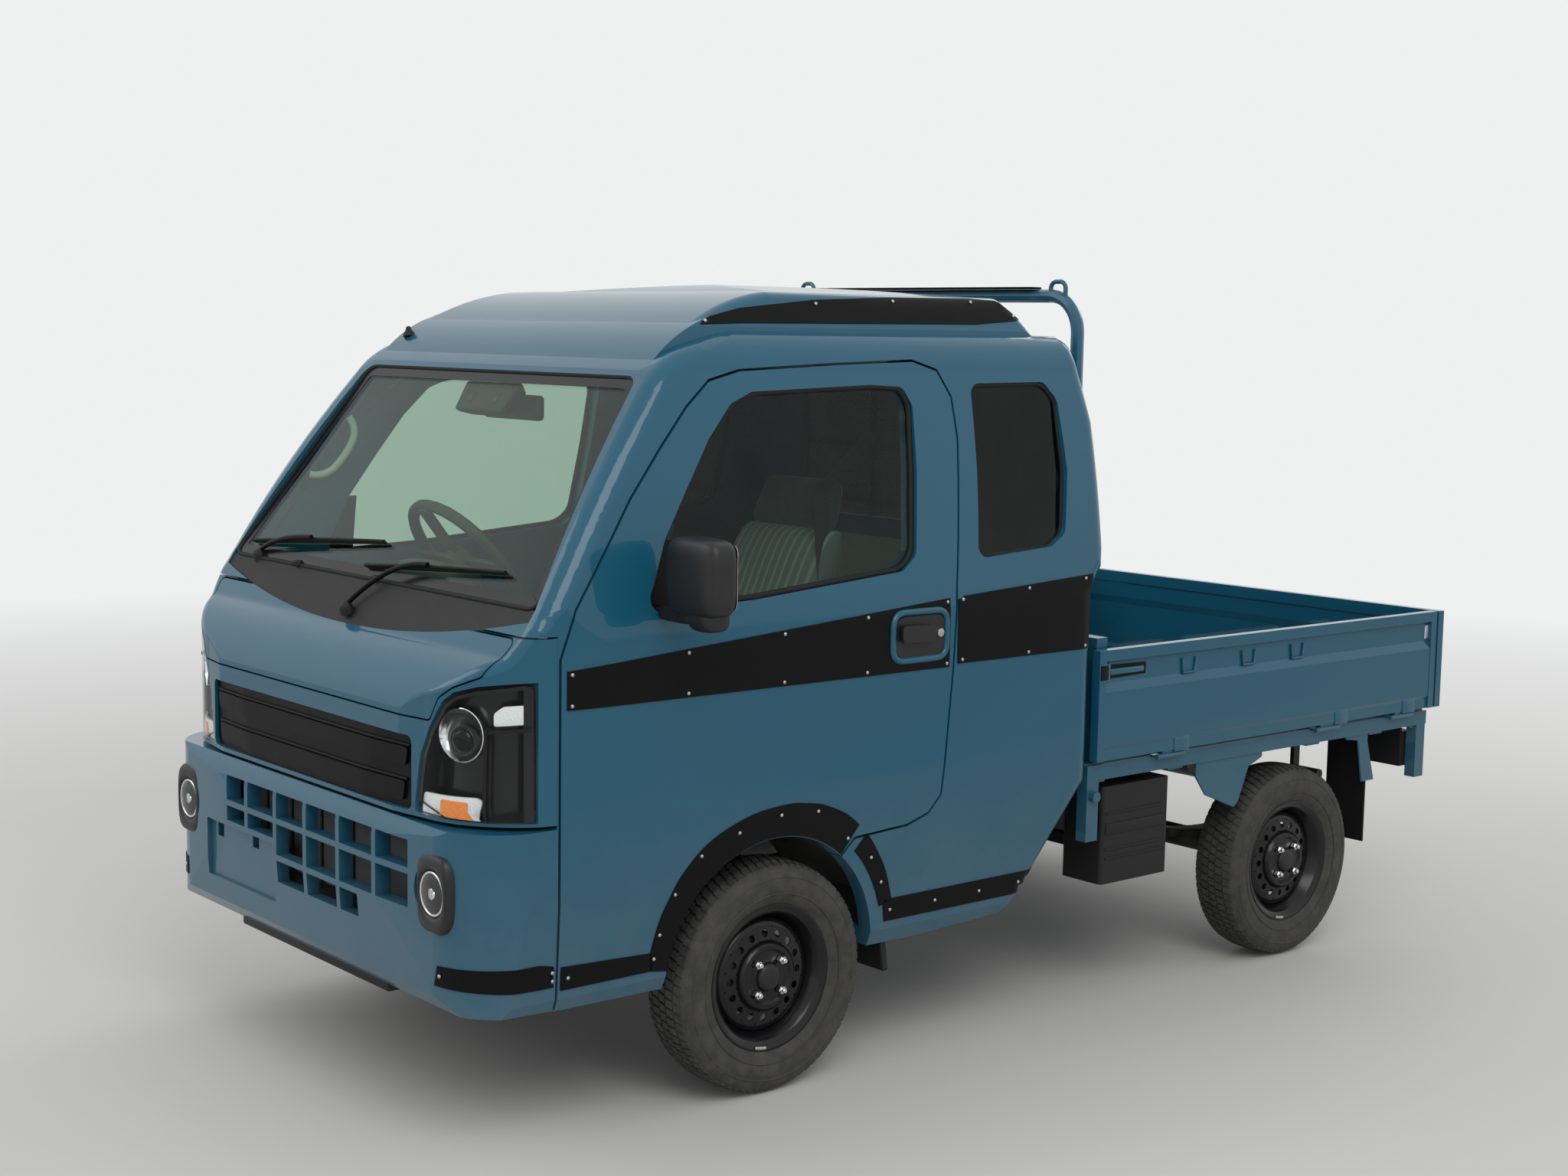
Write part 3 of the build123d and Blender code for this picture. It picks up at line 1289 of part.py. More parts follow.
# Tail lamps and mud flaps
tail_lamp_low = (500.0, y_at(2478.0), 470.0)
tail_lamp_high = (668.0, y_at(2536.0), 575.0)
lamp_bracket = 8.0
with BuildPart() as tail_lamps:
    for side in sides:
        low_x, high_x = sorted((side * tail_lamp_low[0], side * tail_lamp_high[0]))
        add(block_between((low_x, *tail_lamp_low[1:]), (high_x, *tail_lamp_high[1:])))
        add(block_between(
            (low_x, tail_lamp_low[1], tail_lamp_high[2]),
            (high_x, tail_lamp_low[1] + lamp_bracket, beam_low_z - seat_gap)))
finish("tail_lamps", tail_lamps.part)

flap_width = 135.0
flap_thick = 6.0
flap_y = beam_places[4] - beam_width / 2 - seat_gap - flap_thick
flap_outer_x = 700.0
flap_low_z = 275.0
with BuildPart() as mud_flaps:
    for side in sides:
        low_x, high_x = sorted((side * (flap_outer_x - flap_width), side * (flap_outer_x - seat_gap)))
        add(block_between((low_x, flap_y, flap_low_z), (high_x, flap_y + flap_thick, beam_top_z)))
finish("mud_flaps", mud_flaps.part)
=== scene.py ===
# %% [markdown]
# # A kei truck, dressed in Blender
# The CAD model arrives as a fixed frame: every panel, wheel and hinge is already in its place.
# This lesson gives it paint, seals, trims, lamps, seats and tyres, and a plain studio to stand in.
# Lengths are metres, the truck faces -Y, its left is +X and the ground is Z = 0.

# %% Start: load the frame and keep its box
import json
from math import copysign, cos, pi, radians, sin, tau

import bmesh
import bpy
from mathutils import Matrix, Vector
from mathutils.bvhtree import BVHTree

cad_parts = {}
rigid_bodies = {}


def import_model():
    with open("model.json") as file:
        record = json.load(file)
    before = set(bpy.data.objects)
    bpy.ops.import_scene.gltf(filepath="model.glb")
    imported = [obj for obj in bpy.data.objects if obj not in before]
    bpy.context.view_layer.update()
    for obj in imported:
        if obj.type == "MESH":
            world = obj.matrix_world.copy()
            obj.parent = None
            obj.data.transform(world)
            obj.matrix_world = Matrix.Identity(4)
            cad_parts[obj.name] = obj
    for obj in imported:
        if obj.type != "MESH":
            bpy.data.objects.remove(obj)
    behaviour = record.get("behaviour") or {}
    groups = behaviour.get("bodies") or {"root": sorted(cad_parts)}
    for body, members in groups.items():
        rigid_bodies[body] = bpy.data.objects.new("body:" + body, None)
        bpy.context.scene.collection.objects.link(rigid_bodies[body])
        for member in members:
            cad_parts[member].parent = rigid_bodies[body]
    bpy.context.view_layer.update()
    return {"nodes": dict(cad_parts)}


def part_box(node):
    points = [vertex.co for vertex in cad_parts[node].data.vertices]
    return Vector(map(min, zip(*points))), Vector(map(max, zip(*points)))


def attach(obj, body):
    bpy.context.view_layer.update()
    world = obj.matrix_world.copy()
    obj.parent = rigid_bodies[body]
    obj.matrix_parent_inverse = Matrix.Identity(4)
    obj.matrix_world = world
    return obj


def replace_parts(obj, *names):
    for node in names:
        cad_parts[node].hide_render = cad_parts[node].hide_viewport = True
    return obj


for spare in list(bpy.data.objects):
    bpy.data.objects.remove(spare)
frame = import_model()
nodes = frame["nodes"]
SIDES = {"left": 1.0, "right": -1.0}
FRONT_AXLE = -0.8725

# %% [markdown]
# ## Writing a finish as sums
# A pattern is easier to read as arithmetic than as a web of nodes. Signal wraps one socket, and
# Python's operators add the Math nodes. Nodes is a tree that nodes are added to, and Finish is one
# material with its Principled shader.

# %% Signal and Nodes


class Signal:
    """One output of a node, with arithmetic that adds Math nodes."""

    def __init__(self, nodes, socket):
        self.nodes = nodes
        self.socket = socket

    def __add__(self, other):
        return self.nodes.math("ADD", self, other)

    def __sub__(self, other):
        return self.nodes.math("SUBTRACT", self, other)

    def __rsub__(self, other):
        return self.nodes.math("SUBTRACT", other, self)

    def __mul__(self, other):
        return self.nodes.math("MULTIPLY", self, other)

    __radd__ = __add__
    __rmul__ = __mul__


class Nodes:
    """A node tree, of a material or of the world."""

    def __init__(self, tree):
        self.tree = tree

    def feed(self, target, value):
        """Gives a socket a constant or a Signal."""
        if isinstance(value, Signal):
            self.tree.links.new(value.socket, target)
        else:
            target.default_value = value

    def node(self, kind, settings=None, sockets=None, output=0):
        """Adds a node: its settings, then the values or links of its sockets."""
        made = self.tree.nodes.new(kind)
        for key, value in (settings or {}).items():
            setattr(made, key, value)
        for key, value in (sockets or {}).items():
            self.feed(made.inputs[key], value)
        return Signal(self, made.outputs[output])

    def math(self, operation, first, second):
        """A Math node of two values."""
        return self.node("ShaderNodeMath", {"operation": operation}, {0: first, 1: second})


print("a Signal overloads + - and *")

# %% Finish


class Finish(Nodes):
    """A material: a Principled shader with its constants, and nodes made as they are needed."""

    def __init__(self, name, colour, roughness, slot=None, **constants):
        self.material = bpy.data.materials.new(name)
        self.material.use_nodes = True
        super().__init__(self.material.node_tree)
        self.slot = slot
        self.shader = self.tree.nodes["Principled BSDF"]
        self.output = self.tree.nodes["Material Output"]
        self.colour = colour
        self.roughness = roughness
        self.set("Base Color", (*colour, 1.0))
        self.set("Roughness", roughness)
        for socket, value in constants.items():
            self.set(socket.replace("_", " "), value)

    def set(self, name, value):
        """Gives a socket of the shader a constant or a Signal."""
        self.feed(self.shader.inputs[name], value)

    def show(self, shader):
        """Puts another shader in the place of the Principled one."""
        self.feed(self.output.inputs["Surface"], shader)

    def place(self):
        """Where a point of the object is, in metres."""
        return self.node("ShaderNodeTexCoord", output="Object")

    def axis(self, letter):
        """One coordinate of that place."""
        return self.node("ShaderNodeSeparateXYZ", {}, {0: self.place()}, output=letter)

    def noise(self, scale, detail=3.0, roughness=0.55):
        """Clouds, at a number of them to the metre."""
        return self.node("ShaderNodeTexNoise", {}, {
            "Vector": self.place(), "Scale": scale, "Detail": detail, "Roughness": roughness,
        })

    def cells(self, scale):
        """Rounded grains, at a number of them to the metre."""
        return self.node("ShaderNodeTexVoronoi", {}, {"Vector": self.place(), "Scale": scale})

    def steps(self, value, low, high):
        """A value stretched so that low gives 0 and high gives 1, clamped."""
        return self.node("ShaderNodeMapRange", {}, {0: value, 1: low, 2: high, 3: 0.0, 4: 1.0})

    def blend(self, factor, first, second):
        """A colour between two colours."""
        return self.node("ShaderNodeMix", {"data_type": "RGBA"}, {
            0: factor,
            6: first if isinstance(first, Signal) else (*first, 1.0),
            7: second if isinstance(second, Signal) else (*second, 1.0),
        }, output=2)

    def relief(self, height, strength, depth):
        """Bump from a height, fed to the shader's normal."""
        self.set("Normal", self.node("ShaderNodeBump", {}, {
            "Height": height, "Strength": strength, "Distance": depth,
        }))

    def vary(self, scale, colour_change, roughness_change):
        """Uneven colour and gloss, as dust and handling leave them."""
        clouds = self.noise(scale, 4.0)
        dark = tuple(channel * (1.0 - colour_change) for channel in self.colour)
        light = tuple(min(channel * (1.0 + colour_change), 1.0) for channel in self.colour)
        self.set("Base Color", self.blend(clouds, dark, light))
        self.set("Roughness", clouds * roughness_change + (self.roughness - roughness_change / 2))


print("a Finish makes one material")

# %% [markdown]
# ## Painted steel
# The body is a solid teal under a clear coat. The coat is what shines, so the colour below it can be
# fairly rough. A faint orange peel bends the reflections, and road dust dulls the lowest panels.

# %% The teal paint
TEAL = (0.008, 0.087, 0.145)
DUST = (0.24, 0.22, 0.19)
paint = Finish("body_paint", TEAL, 0.32, "body_teal", Coat_Weight=0.65, Coat_Roughness=0.03, IOR=1.5,
               Specular_IOR_Level=0.15)
low_part = 1.0 - paint.steps(paint.axis("Z"), 0.25, 0.75)
grime = low_part * paint.noise(9.0, 6.0) * 0.30
shade = paint.blend(paint.noise(1.4, 2.0), (0.007, 0.083, 0.138), (0.009, 0.091, 0.152))
paint.set("Base Color", paint.blend(grime, shade, DUST))
paint.set("Roughness", grime * 1.2 + 0.30)
paint.relief(paint.noise(420.0, 1.0), 0.05, 0.0006)

bed_paint = Finish("bed_paint", TEAL, 0.45, "body_teal", Coat_Weight=0.5, Coat_Roughness=0.15,
                   Specular_IOR_Level=0.3)
scuffs = bed_paint.steps(bed_paint.noise(26.0, 8.0, 0.7), 0.52, 0.72)
bed_paint.set("Base Color", bed_paint.blend(scuffs * 0.22, TEAL, DUST))
bed_paint.set("Roughness", scuffs * 0.25 + 0.42)
bed_paint.relief(bed_paint.noise(300.0, 2.0), 0.10, 0.0006)
print("paint ready")

# %% [markdown]
# ## Black plastics, rubber and steel
# The trims are satin with a fine even grain, the cowl and mirrors are moulded with a leather-like
# grain, and seals are dull. The differences are only in roughness, relief and a little colour.

# %% Blacks
satin = Finish("black_satin", (0.003, 0.003, 0.0035), 0.42, "black_plastic", Specular_IOR_Level=0.12)
satin.vary(14.0, 0.25, 0.14)
satin.relief(satin.noise(900.0, 2.0), 0.16, 0.0004)

moulded = Finish("black_moulded", (0.012, 0.012, 0.0125), 0.58, "black_plastic", Specular_IOR_Level=0.3)
moulded.vary(11.0, 0.30, 0.16)
moulded.relief(moulded.cells(720.0), 0.30, 0.0006)

mirror_shell = Finish("mirror_shell", (0.012, 0.012, 0.013), 0.42, "black_plastic", Specular_IOR_Level=0.4)
mirror_shell.vary(20.0, 0.2, 0.1)
mirror_shell.relief(mirror_shell.cells(950.0), 0.18, 0.0004)

seal = Finish("rubber_seal", (0.008, 0.008, 0.0085), 0.62, "black_rubber", Specular_IOR_Level=0.25)
seal.vary(30.0, 0.3, 0.2)
seal.relief(seal.noise(500.0, 3.0), 0.2, 0.0005)

gloss_black = Finish("gloss_black", (0.006, 0.006, 0.007), 0.20, "black_plastic", Specular_IOR_Level=0.35)
gloss_black.vary(25.0, 0.2, 0.10)

chassis_black = Finish("chassis_black", (0.014, 0.014, 0.015), 0.5, "frame_black", Specular_IOR_Level=0.3)
chassis_dust = chassis_black.steps(chassis_black.noise(12.0, 6.0), 0.45, 0.75)
chassis_black.set("Base Color", chassis_black.blend(chassis_dust * 0.35, (0.014, 0.014, 0.015), DUST))
chassis_black.set("Roughness", chassis_dust * 0.3 + 0.42)
chassis_black.relief(chassis_black.noise(150.0, 4.0), 0.2, 0.001)
print("blacks ready")

# %% Tyre rubber and steels
rubber = Finish("tyre_rubber", (0.028, 0.027, 0.026), 0.78, "tyre_rubber", Specular_IOR_Level=0.35)
worn = rubber.steps(rubber.noise(30.0, 6.0, 0.65), 0.40, 0.70)
rubber.set("Base Color", rubber.blend(worn * 0.6, (0.036, 0.035, 0.034), (0.092, 0.088, 0.080)))
rubber.set("Roughness", worn * 0.15 + 0.70)
rubber.relief(rubber.noise(260.0, 4.0), 0.25, 0.001)

bright = Finish("bright_steel", (0.70, 0.70, 0.69), 0.22, "bare_steel", Metallic=1.0)
bright.vary(60.0, 0.12, 0.16)
zinc = Finish("zinc_plate", (0.45, 0.45, 0.44), 0.40, "bare_steel", Metallic=0.9)
zinc.vary(45.0, 0.25, 0.25)
cast = Finish("cast_metal", (0.24, 0.24, 0.24), 0.55, Metallic=0.8)
cast.vary(18.0, 0.35, 0.25)
cast.relief(cast.noise(220.0, 5.0), 0.35, 0.001)
mirror_glass = Finish("mirror_glass", (0.82, 0.84, 0.86), 0.04, "bare_steel", Metallic=1.0)
mirror_glass.vary(40.0, 0.03, 0.03)
print("rubber and steels ready")

# %% [markdown]
# ## Glass
# Window glass is thin: light goes straight through and only the surface shines. A Transparent shader
# mixed with a Glossy one by slant does this with no bending, and it renders quickly.

# %% A maker for thin glass


def thin_glass(name, tint, streak, head_on):
    """A see-through sheet of one tint, with faint streaks of handling on it."""
    glass = Finish(name, tint, 0.03, "lamp_lens")
    clear = glass.node("ShaderNodeBsdfTransparent", {}, {"Color": (*tint, 1.0)})
    gloss = glass.node("ShaderNodeBsdfGlossy", {}, {"Color": (0.95, 0.97, 0.97, 1.0), "Roughness": 0.02})
    slant = glass.node("ShaderNodeLayerWeight", {}, {"Blend": 0.5}, output="Facing")
    square = slant * slant
    rim_light = square * square * slant * (0.9 - head_on) + head_on
    film = glass.steps(glass.noise(7.0, 5.0), 0.35, 0.75) * streak
    mixed = glass.node("ShaderNodeMixShader", {}, {0: rim_light + film, 1: clear, 2: gloss})
    glass.show(mixed)
    return glass


window_glass = thin_glass("window_glass", (0.80, 0.90, 0.84), 0.004, 0.020)
dark_glass = thin_glass("dark_glass", (0.08, 0.09, 0.09), 0.004, 0.022)
lens_glass = thin_glass("clear_lens", (0.97, 0.98, 0.98), 0.002, 0.012)
side_glass = thin_glass("side_glass", (0.66, 0.73, 0.69), 0.003, 0.014)
print("glass ready")

# %% [markdown]
# ## Lamp parts, cloth and cabin plastics
# Lamp bowls are mirror bright with small flutes, the turn lamp shows amber behind clear plastic, and
# the seats are grey cloth with fine lengthwise stripes.

# %% Lamps
bowl = Finish("lamp_bowl", (0.86, 0.87, 0.88), 0.10, "bare_steel", Metallic=1.0)
bowl.vary(80.0, 0.10, 0.12)
fluted = Finish("lamp_flutes", (0.86, 0.87, 0.88), 0.14, "bare_steel", Metallic=1.0)
flute_wave = fluted.node("ShaderNodeTexWave", {"bands_direction": "X"}, {
    "Vector": fluted.place(), "Scale": 42.0, "Distortion": 0.0,
})
fluted.set("Roughness", flute_wave * 0.1 + 0.08)
fluted.relief(flute_wave, 0.8, 0.004)
amber = Finish("amber_lens", (0.90, 0.25, 0.02), 0.15, "lamp_lens", Coat_Weight=1.0)
amber.vary(60.0, 0.10, 0.08)
amber.relief(amber.cells(260.0), 0.5, 0.002)
red = Finish("red_lens", (0.42, 0.010, 0.012), 0.14, "lamp_lens", Coat_Weight=1.0, Coat_Roughness=0.02)
red.vary(50.0, 0.15, 0.06)
red.relief(red.cells(220.0), 0.45, 0.002)
pearl = Finish("lamp_pearl", (0.80, 0.81, 0.80), 0.16, "lamp_lens", Coat_Weight=1.0)
pearl.vary(50.0, 0.05, 0.08)
pearl.relief(pearl.cells(240.0), 0.45, 0.002)
print("lamp finishes ready")

# %% Cloth and cabin plastics
cloth = Finish("seat_cloth", (0.21, 0.215, 0.22), 0.88, "seat_cloth", Sheen_Weight=0.2)
stripe_place = cloth.node("ShaderNodeMath", {"operation": "FRACT"}, {0: cloth.axis("X") * 38.0})
thin_stripe = cloth.steps(stripe_place, 0.62, 0.74)
yarn = cloth.noise(480.0, 4.0, 0.7)
cloth.set("Base Color", cloth.blend(thin_stripe * 0.8, (0.19, 0.195, 0.20), (0.40, 0.41, 0.41)))
cloth.set("Roughness", yarn * 0.1 + 0.82)
cloth.relief(yarn + thin_stripe * 0.3, 0.5, 0.0015)

dark_cloth = Finish("seat_side_cloth", (0.045, 0.046, 0.05), 0.9, "seat_cloth", Sheen_Weight=0.2)
dark_cloth.vary(40.0, 0.3, 0.1)
dark_cloth.relief(dark_cloth.noise(520.0, 4.0), 0.5, 0.0012)

dash_grey = Finish("dash_grey", (0.055, 0.056, 0.058), 0.6, "grey_plastic")
dash_grey.vary(12.0, 0.2, 0.12)
dash_grey.relief(dash_grey.cells(640.0), 0.25, 0.0006)
pale = Finish("pale_lining", (0.50, 0.49, 0.46), 0.85, "seat_cloth")
pale.vary(30.0, 0.10, 0.1)
pale.relief(pale.noise(350.0, 3.0), 0.3, 0.001)
belt_web = Finish("belt_web", (0.03, 0.03, 0.032), 0.7, "seat_cloth")
weave = belt_web.node("ShaderNodeTexWave", {"bands_direction": "Z"}, {
    "Vector": belt_web.place(), "Scale": 160.0, "Distortion": 0.5,
})
belt_web.set("Roughness", weave * 0.1 + 0.65)
belt_web.relief(weave, 0.4, 0.001)
print("cloth and cabin plastics ready")

# %% [markdown]
# ## Which finish each CAD part wears
# The CAD surfaces already have the right shape, so they only change material. Their vertices are
# separate at every edge of the model, so smooth shading rounds the flats and keeps the edges sharp.

# %% Finishes of the CAD parts
CORNERS = [f"{end}_{side}" for end in ("front", "rear") for side in SIDES]
WEARS = {
    paint: ["cab_sides", "roof_panel", "cab_rear_wall", "front_panel", "hood_lid", "front_bumper",
            "door_left", "door_right", "gate_left", "gate_right", "tailgate", "bed_frame"],
    bed_paint: ["bed_floor", "guard_frame"],
    moulded: ["cowl_panel", "battery_box", "tail_lamps"],
    satin: ["grille_insert"],
    mirror_shell: ["mirror_left", "mirror_right"],
    lens_glass: ["headlamps"],
    bright: ["fog_lamps"],
    window_glass: ["windscreen"],
    dark_glass: ["rear_window", "quarter_windows"],
    dash_grey: ["dashboard", "steering_wheel"],
    dark_cloth: ["seats", "cab_floor"],
    chassis_black: ["chassis_frame", "front_suspension", "rear_axle", "knuckle_left",
                    "knuckle_right", "fuel_tank", "muffler"],
    cast: ["drivetrain"],
    seal: ["mud_flaps"],
    side_glass: ["door_glass_left", "door_glass_right"],
    gloss_black: [f"wheel_{corner}" for corner in CORNERS],
    rubber: [f"tyre_{corner}" for corner in CORNERS],
}
for finish, names in WEARS.items():
    for name in names:
        mesh = nodes[name].data
        mesh.materials.clear()
        mesh.materials.append(finish.material)
        mesh.polygons.foreach_set("use_smooth", [True] * len(mesh.polygons))
print("dressed", sum(len(names) for names in WEARS.values()), "of", len(nodes))

# %% [markdown]
# ## Making pieces
# Every piece ends the same way: it gets a finish and a body to ride on.
# Most pieces are skins between rings or rows of points, so one helper joins those with quads.

# %% Helpers: finishing a piece
TUBE_SIDES, SOFT_ANGLE, CRISP_ANGLE, TURNED_ANGLE = 3, radians(35), radians(38), radians(50)
made_pieces = []


def finish_piece(piece, finish, body, smooth=True):
    """Gives a piece its material, its shading and its body."""
    piece.data.materials.clear()
    piece.data.materials.append(finish.material)
    if piece.type == "MESH":
        piece.data.polygons.foreach_set("use_smooth", [smooth] * len(piece.data.polygons))
    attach(piece, body)
    made_pieces.append(piece)
    return piece


def in_scene(name, data):
    """Puts new data in the scene as an object."""
    made = bpy.data.objects.new(name, data)
    bpy.context.scene.collection.objects.link(made)
    return made


def join(shape, rings, around=True):
    """Joins each row of points to the next with quads, all round or as an open sheet."""
    for low, high in zip(rings, rings[1:]):
        for k in range(0 if around else 1, len(low)):
            shape.faces.new((low[k - 1], low[k], high[k], high[k - 1]))


def mesh_piece(name, shape, finish, body="root", smooth=True):
    """Turns a bmesh into a finished piece."""
    bmesh.ops.recalc_face_normals(shape, faces=shape.faces)
    mesh = bpy.data.meshes.new(name)
    shape.to_mesh(mesh)
    shape.free()
    return finish_piece(in_scene(name, mesh), finish, body, smooth)


def crisp(piece, angle=CRISP_ANGLE):
    """Keeps the shading of sharp edges apart."""
    split = piece.modifiers.new("crisp", "EDGE_SPLIT")
    split.split_angle = angle
    return piece


def thicken(piece, depth, offset=1.0):
    """Gives a sheet a real thickness."""
    solid = piece.modifiers.new("thickness", "SOLIDIFY")
    solid.thickness = depth
    solid.offset = offset
    return crisp(piece)


def soften(piece, width, segments=2):
    """Rounds the edges of a piece."""
    bevel = piece.modifiers.new("round", "BEVEL")
    bevel.width = width
    bevel.segments = segments
    bevel.limit_method = "ANGLE"
    bevel.angle_limit = SOFT_ANGLE
    return piece


def rounded(points, radius, steps=5):
    """A closed outline with its corners rounded, in any two coordinates."""
    corners = [Vector(point) for point in points]
    line = []
    for before, corner, after in zip(corners[-1:] + corners, corners, corners[1:] + corners[:1]):
        into, out = before - corner, after - corner
        reach = min(radius, into.length * 0.45, out.length * 0.45)
        start, end = corner + into.normalized() * reach, corner + out.normalized() * reach
        for step in range(steps + 1):
            t = step / steps
            line.append(start * (1 - t) ** 2 + corner * 2 * t * (1 - t) + end * t * t)
    return line


def tube(name, points, radius, finish, body="root", closed=False, kind="POLY"):
    """A round bar along a line of points."""
    curve = bpy.data.curves.new(name, "CURVE")
    curve.dimensions = "3D"
    curve.bevel_depth = radius
    curve.bevel_resolution = TUBE_SIDES
    curve.use_fill_caps = True
    line = curve.splines.new(kind)
    line.points.add(len(points) - 1)
    for point, place in zip(line.points, points):
        point.co = (*place, 1.0)
    line.use_cyclic_u = closed
    if kind == "NURBS":
        line.order_u = 3
        line.use_endpoint_u = not closed
    return finish_piece(in_scene(name, curve), finish, body)


print("helpers ready")

# %% [markdown]
# ## Casting onto the panels
# Pieces that lie on a panel are cast onto it with rays, so they follow its curve exactly. A tree of the
# CAD faces answers where a ray lands. Side trims are drawn in Y and Z, as on a side view, front trims in
# X and Z, and top ones in X and Y. The same ray gives the rivets their direction.

# %% Helpers: rays, patches, rivets and bands
HAIR, PITCH, NEAR_MISS = 0.0003, 0.022, 1.3
RIVET_RADIUS, RIVET_HEIGHT = 0.0045, 0.0030
trees = {}


def tree_of(names):
    """The faces of one or more CAD parts, as one tree."""
    key = (names,) if isinstance(names, str) else tuple(names)
    if key not in trees:
        points, faces = [], []
        for name in key:
            mesh = nodes[name].data
            start = len(points)
            points += [vertex.co.copy() for vertex in mesh.vertices]
            faces += [[start + index for index in face.vertices] for face in mesh.polygons]
        trees[key] = BVHTree.FromPolygons(points, faces)
    return trees[key]


# Each view is the direction of its rays, and where the ray of two coordinates starts.
VIEWS = {
    "left": (Vector((-1, 0, 0)), lambda a, b: Vector((2.0, a, b))),
    "right": (Vector((1, 0, 0)), lambda a, b: Vector((-2.0, a, b))),
    "front": (Vector((0, 1, 0)), lambda a, b: Vector((a, -3.0, b))),
    "back": (Vector((0, -1, 0)), lambda a, b: Vector((a, 3.0, b))),
    "top": (Vector((0, 0, -1)), lambda a, b: Vector((a, b, 3.0))),
}


def land(view, a, b, names, lift=0.0):
    """Where a ray of that view lands on the panels, lifted off them, and the panel's direction."""
    direction, start = VIEWS[view]
    place, normal, _, _ = tree_of(names).ray_cast(start(a, b), direction)
    if place is None:
        place, normal, _, _ = tree_of(names).find_nearest(start(a, b) + direction * NEAR_MISS)
    if normal.dot(direction) > 0:
        normal = -normal
    return place + normal * lift, normal


def face_outwards(piece, out):
    """Turns a sheet's faces, if they look away from a direction."""
    if sum(face.normal.dot(out) for face in piece.data.polygons) < 0:
        piece.data.flip_normals()
    return piece


def patch(name, view, outline, names, depth, finish, body="root", lift=HAIR, pitch=PITCH, placing=None):
    """A thin trim drawn on a view and cast onto the panels, or set by a placing of its own."""
    placing = placing or (lambda a, b: land(view, a, b, names, lift)[0])
    shape = bmesh.new()
    shape.faces.new([shape.verts.new((a, b, 0)) for a, b in outline])
    spans = [(min(p[k] for p in outline), max(p[k] for p in outline)) for k in (0, 1)]
    for k, (low, high) in enumerate(spans):
        direction = (1, 0, 0) if k == 0 else (0, 1, 0)
        for step in range(1, int((high - low) / pitch) + 1):
            place = [0.0, 0.0, 0.0]
            place[k] = low + step * pitch
            bmesh.ops.bisect_plane(shape, geom=shape.verts[:] + shape.edges[:] + shape.faces[:],
                                   plane_co=place, plane_no=direction)
    bmesh.ops.triangulate(shape, faces=shape.faces)
    for vertex in shape.verts:
        vertex.co = placing(vertex.co.x, vertex.co.y)
    piece = mesh_piece(name, shape, finish, body)
    return thicken(face_outwards(piece, -VIEWS[view][0]), depth)


def add_dome(shape, place, normal, radius, height):
    """Adds a low dome to a bmesh, for a rivet or screw head."""
    turn = normal.to_track_quat("Z", "Y").to_matrix().to_4x4()
    matrix = Matrix.Translation(place) @ turn @ Matrix.Diagonal((radius, radius, height, 1.0))
    bmesh.ops.create_uvsphere(shape, u_segments=12, v_segments=8, radius=1.0, matrix=matrix)


def rivets(name, view, spots, names, body="root"):
    """Small domed zinc rivets at some spots of a view, on the panels under them."""
    shape = bmesh.new()
    for a, b in spots:
        place, normal = land(view, a, b, names, RIVET_HEIGHT)
        add_dome(shape, place, normal, RIVET_RADIUS, RIVET_HEIGHT)
    return mesh_piece(name, shape, zinc, body)


def cast_line(view, outline, names, lift):
    """A line of a view, cast point by point."""
    return [land(view, a, b, names, lift)[0] for a, b in outline]


def along(points, count):
    """Evenly spaced points along an open line of 2-D points."""
    corners = [Vector(point) for point in points]
    lengths = [(b - a).length for a, b in zip(corners, corners[1:])]
    total, spaced = sum(lengths), []
    for step in range(count):
        left = total * step / (count - 1)
        for start, end, length in zip(corners, corners[1:], lengths):
            if left <= length + 1e-9:
                spaced.append(start.lerp(end, min(left / length, 1.0)))
                break
            left -= length
    return spaced


def lathe(name, centre, axis, rows, finish, body="root", turns=48):
    """A turned piece from a table of heights and radii about an axis."""
    turn = Vector(axis).to_track_quat("Z", "Y").to_matrix()
    shape = bmesh.new()
    rings = [[shape.verts.new(Vector(centre) + turn @ Vector(
        (radius * cos(tau * k / turns), radius * sin(tau * k / turns), height)))
        for k in range(turns)] for height, radius in rows]
    join(shape, rings)
    shape.faces.new(rings[-1])
    shape.faces.new(rings[0][::-1])
    return crisp(mesh_piece(name, shape, finish, body), TURNED_ANGLE)


def add_block(shape, low, high, turn=None, centre=None):
    """Adds a box to a bmesh, turned about a point if asked."""
    made = bmesh.ops.create_cube(shape, size=1.0)["verts"]
    size = Vector(high) - Vector(low)
    middle = (Vector(high) + Vector(low)) / 2
    for vertex in made:
        vertex.co = Vector(map(lambda a, b: a * b, vertex.co, size)) + middle
    if turn is not None:
        pivot = Vector(centre) if centre else middle
        bmesh.ops.rotate(shape, verts=made, cent=pivot, matrix=turn)


def blocks(name, boxes, finish, width, body="root", segments=2):
    """Some boxes with rounded edges, as one piece."""
    shape = bmesh.new()
    for low, high in boxes:
        add_block(shape, low, high)
    return soften(mesh_piece(name, shape, finish, body), width, segments)


print("casting ready from", len(VIEWS), "sides")

# %% [markdown]
# ## Black trims round the body
# Riveted black strips run round the wheel arches, along the sills, round the bumper's corners, across
# the doors and up the raised roof. Each is drawn on its view, cast onto the steel, and made 2.5 mm
# thick. They are split where a door opens, so that each half rides on its own body.

# %% Side trims
TRIM = 0.0025


def y_of(shift):
    """A place measured backwards from the front axle, in the truck's frame."""
    return shift + FRONT_AXLE


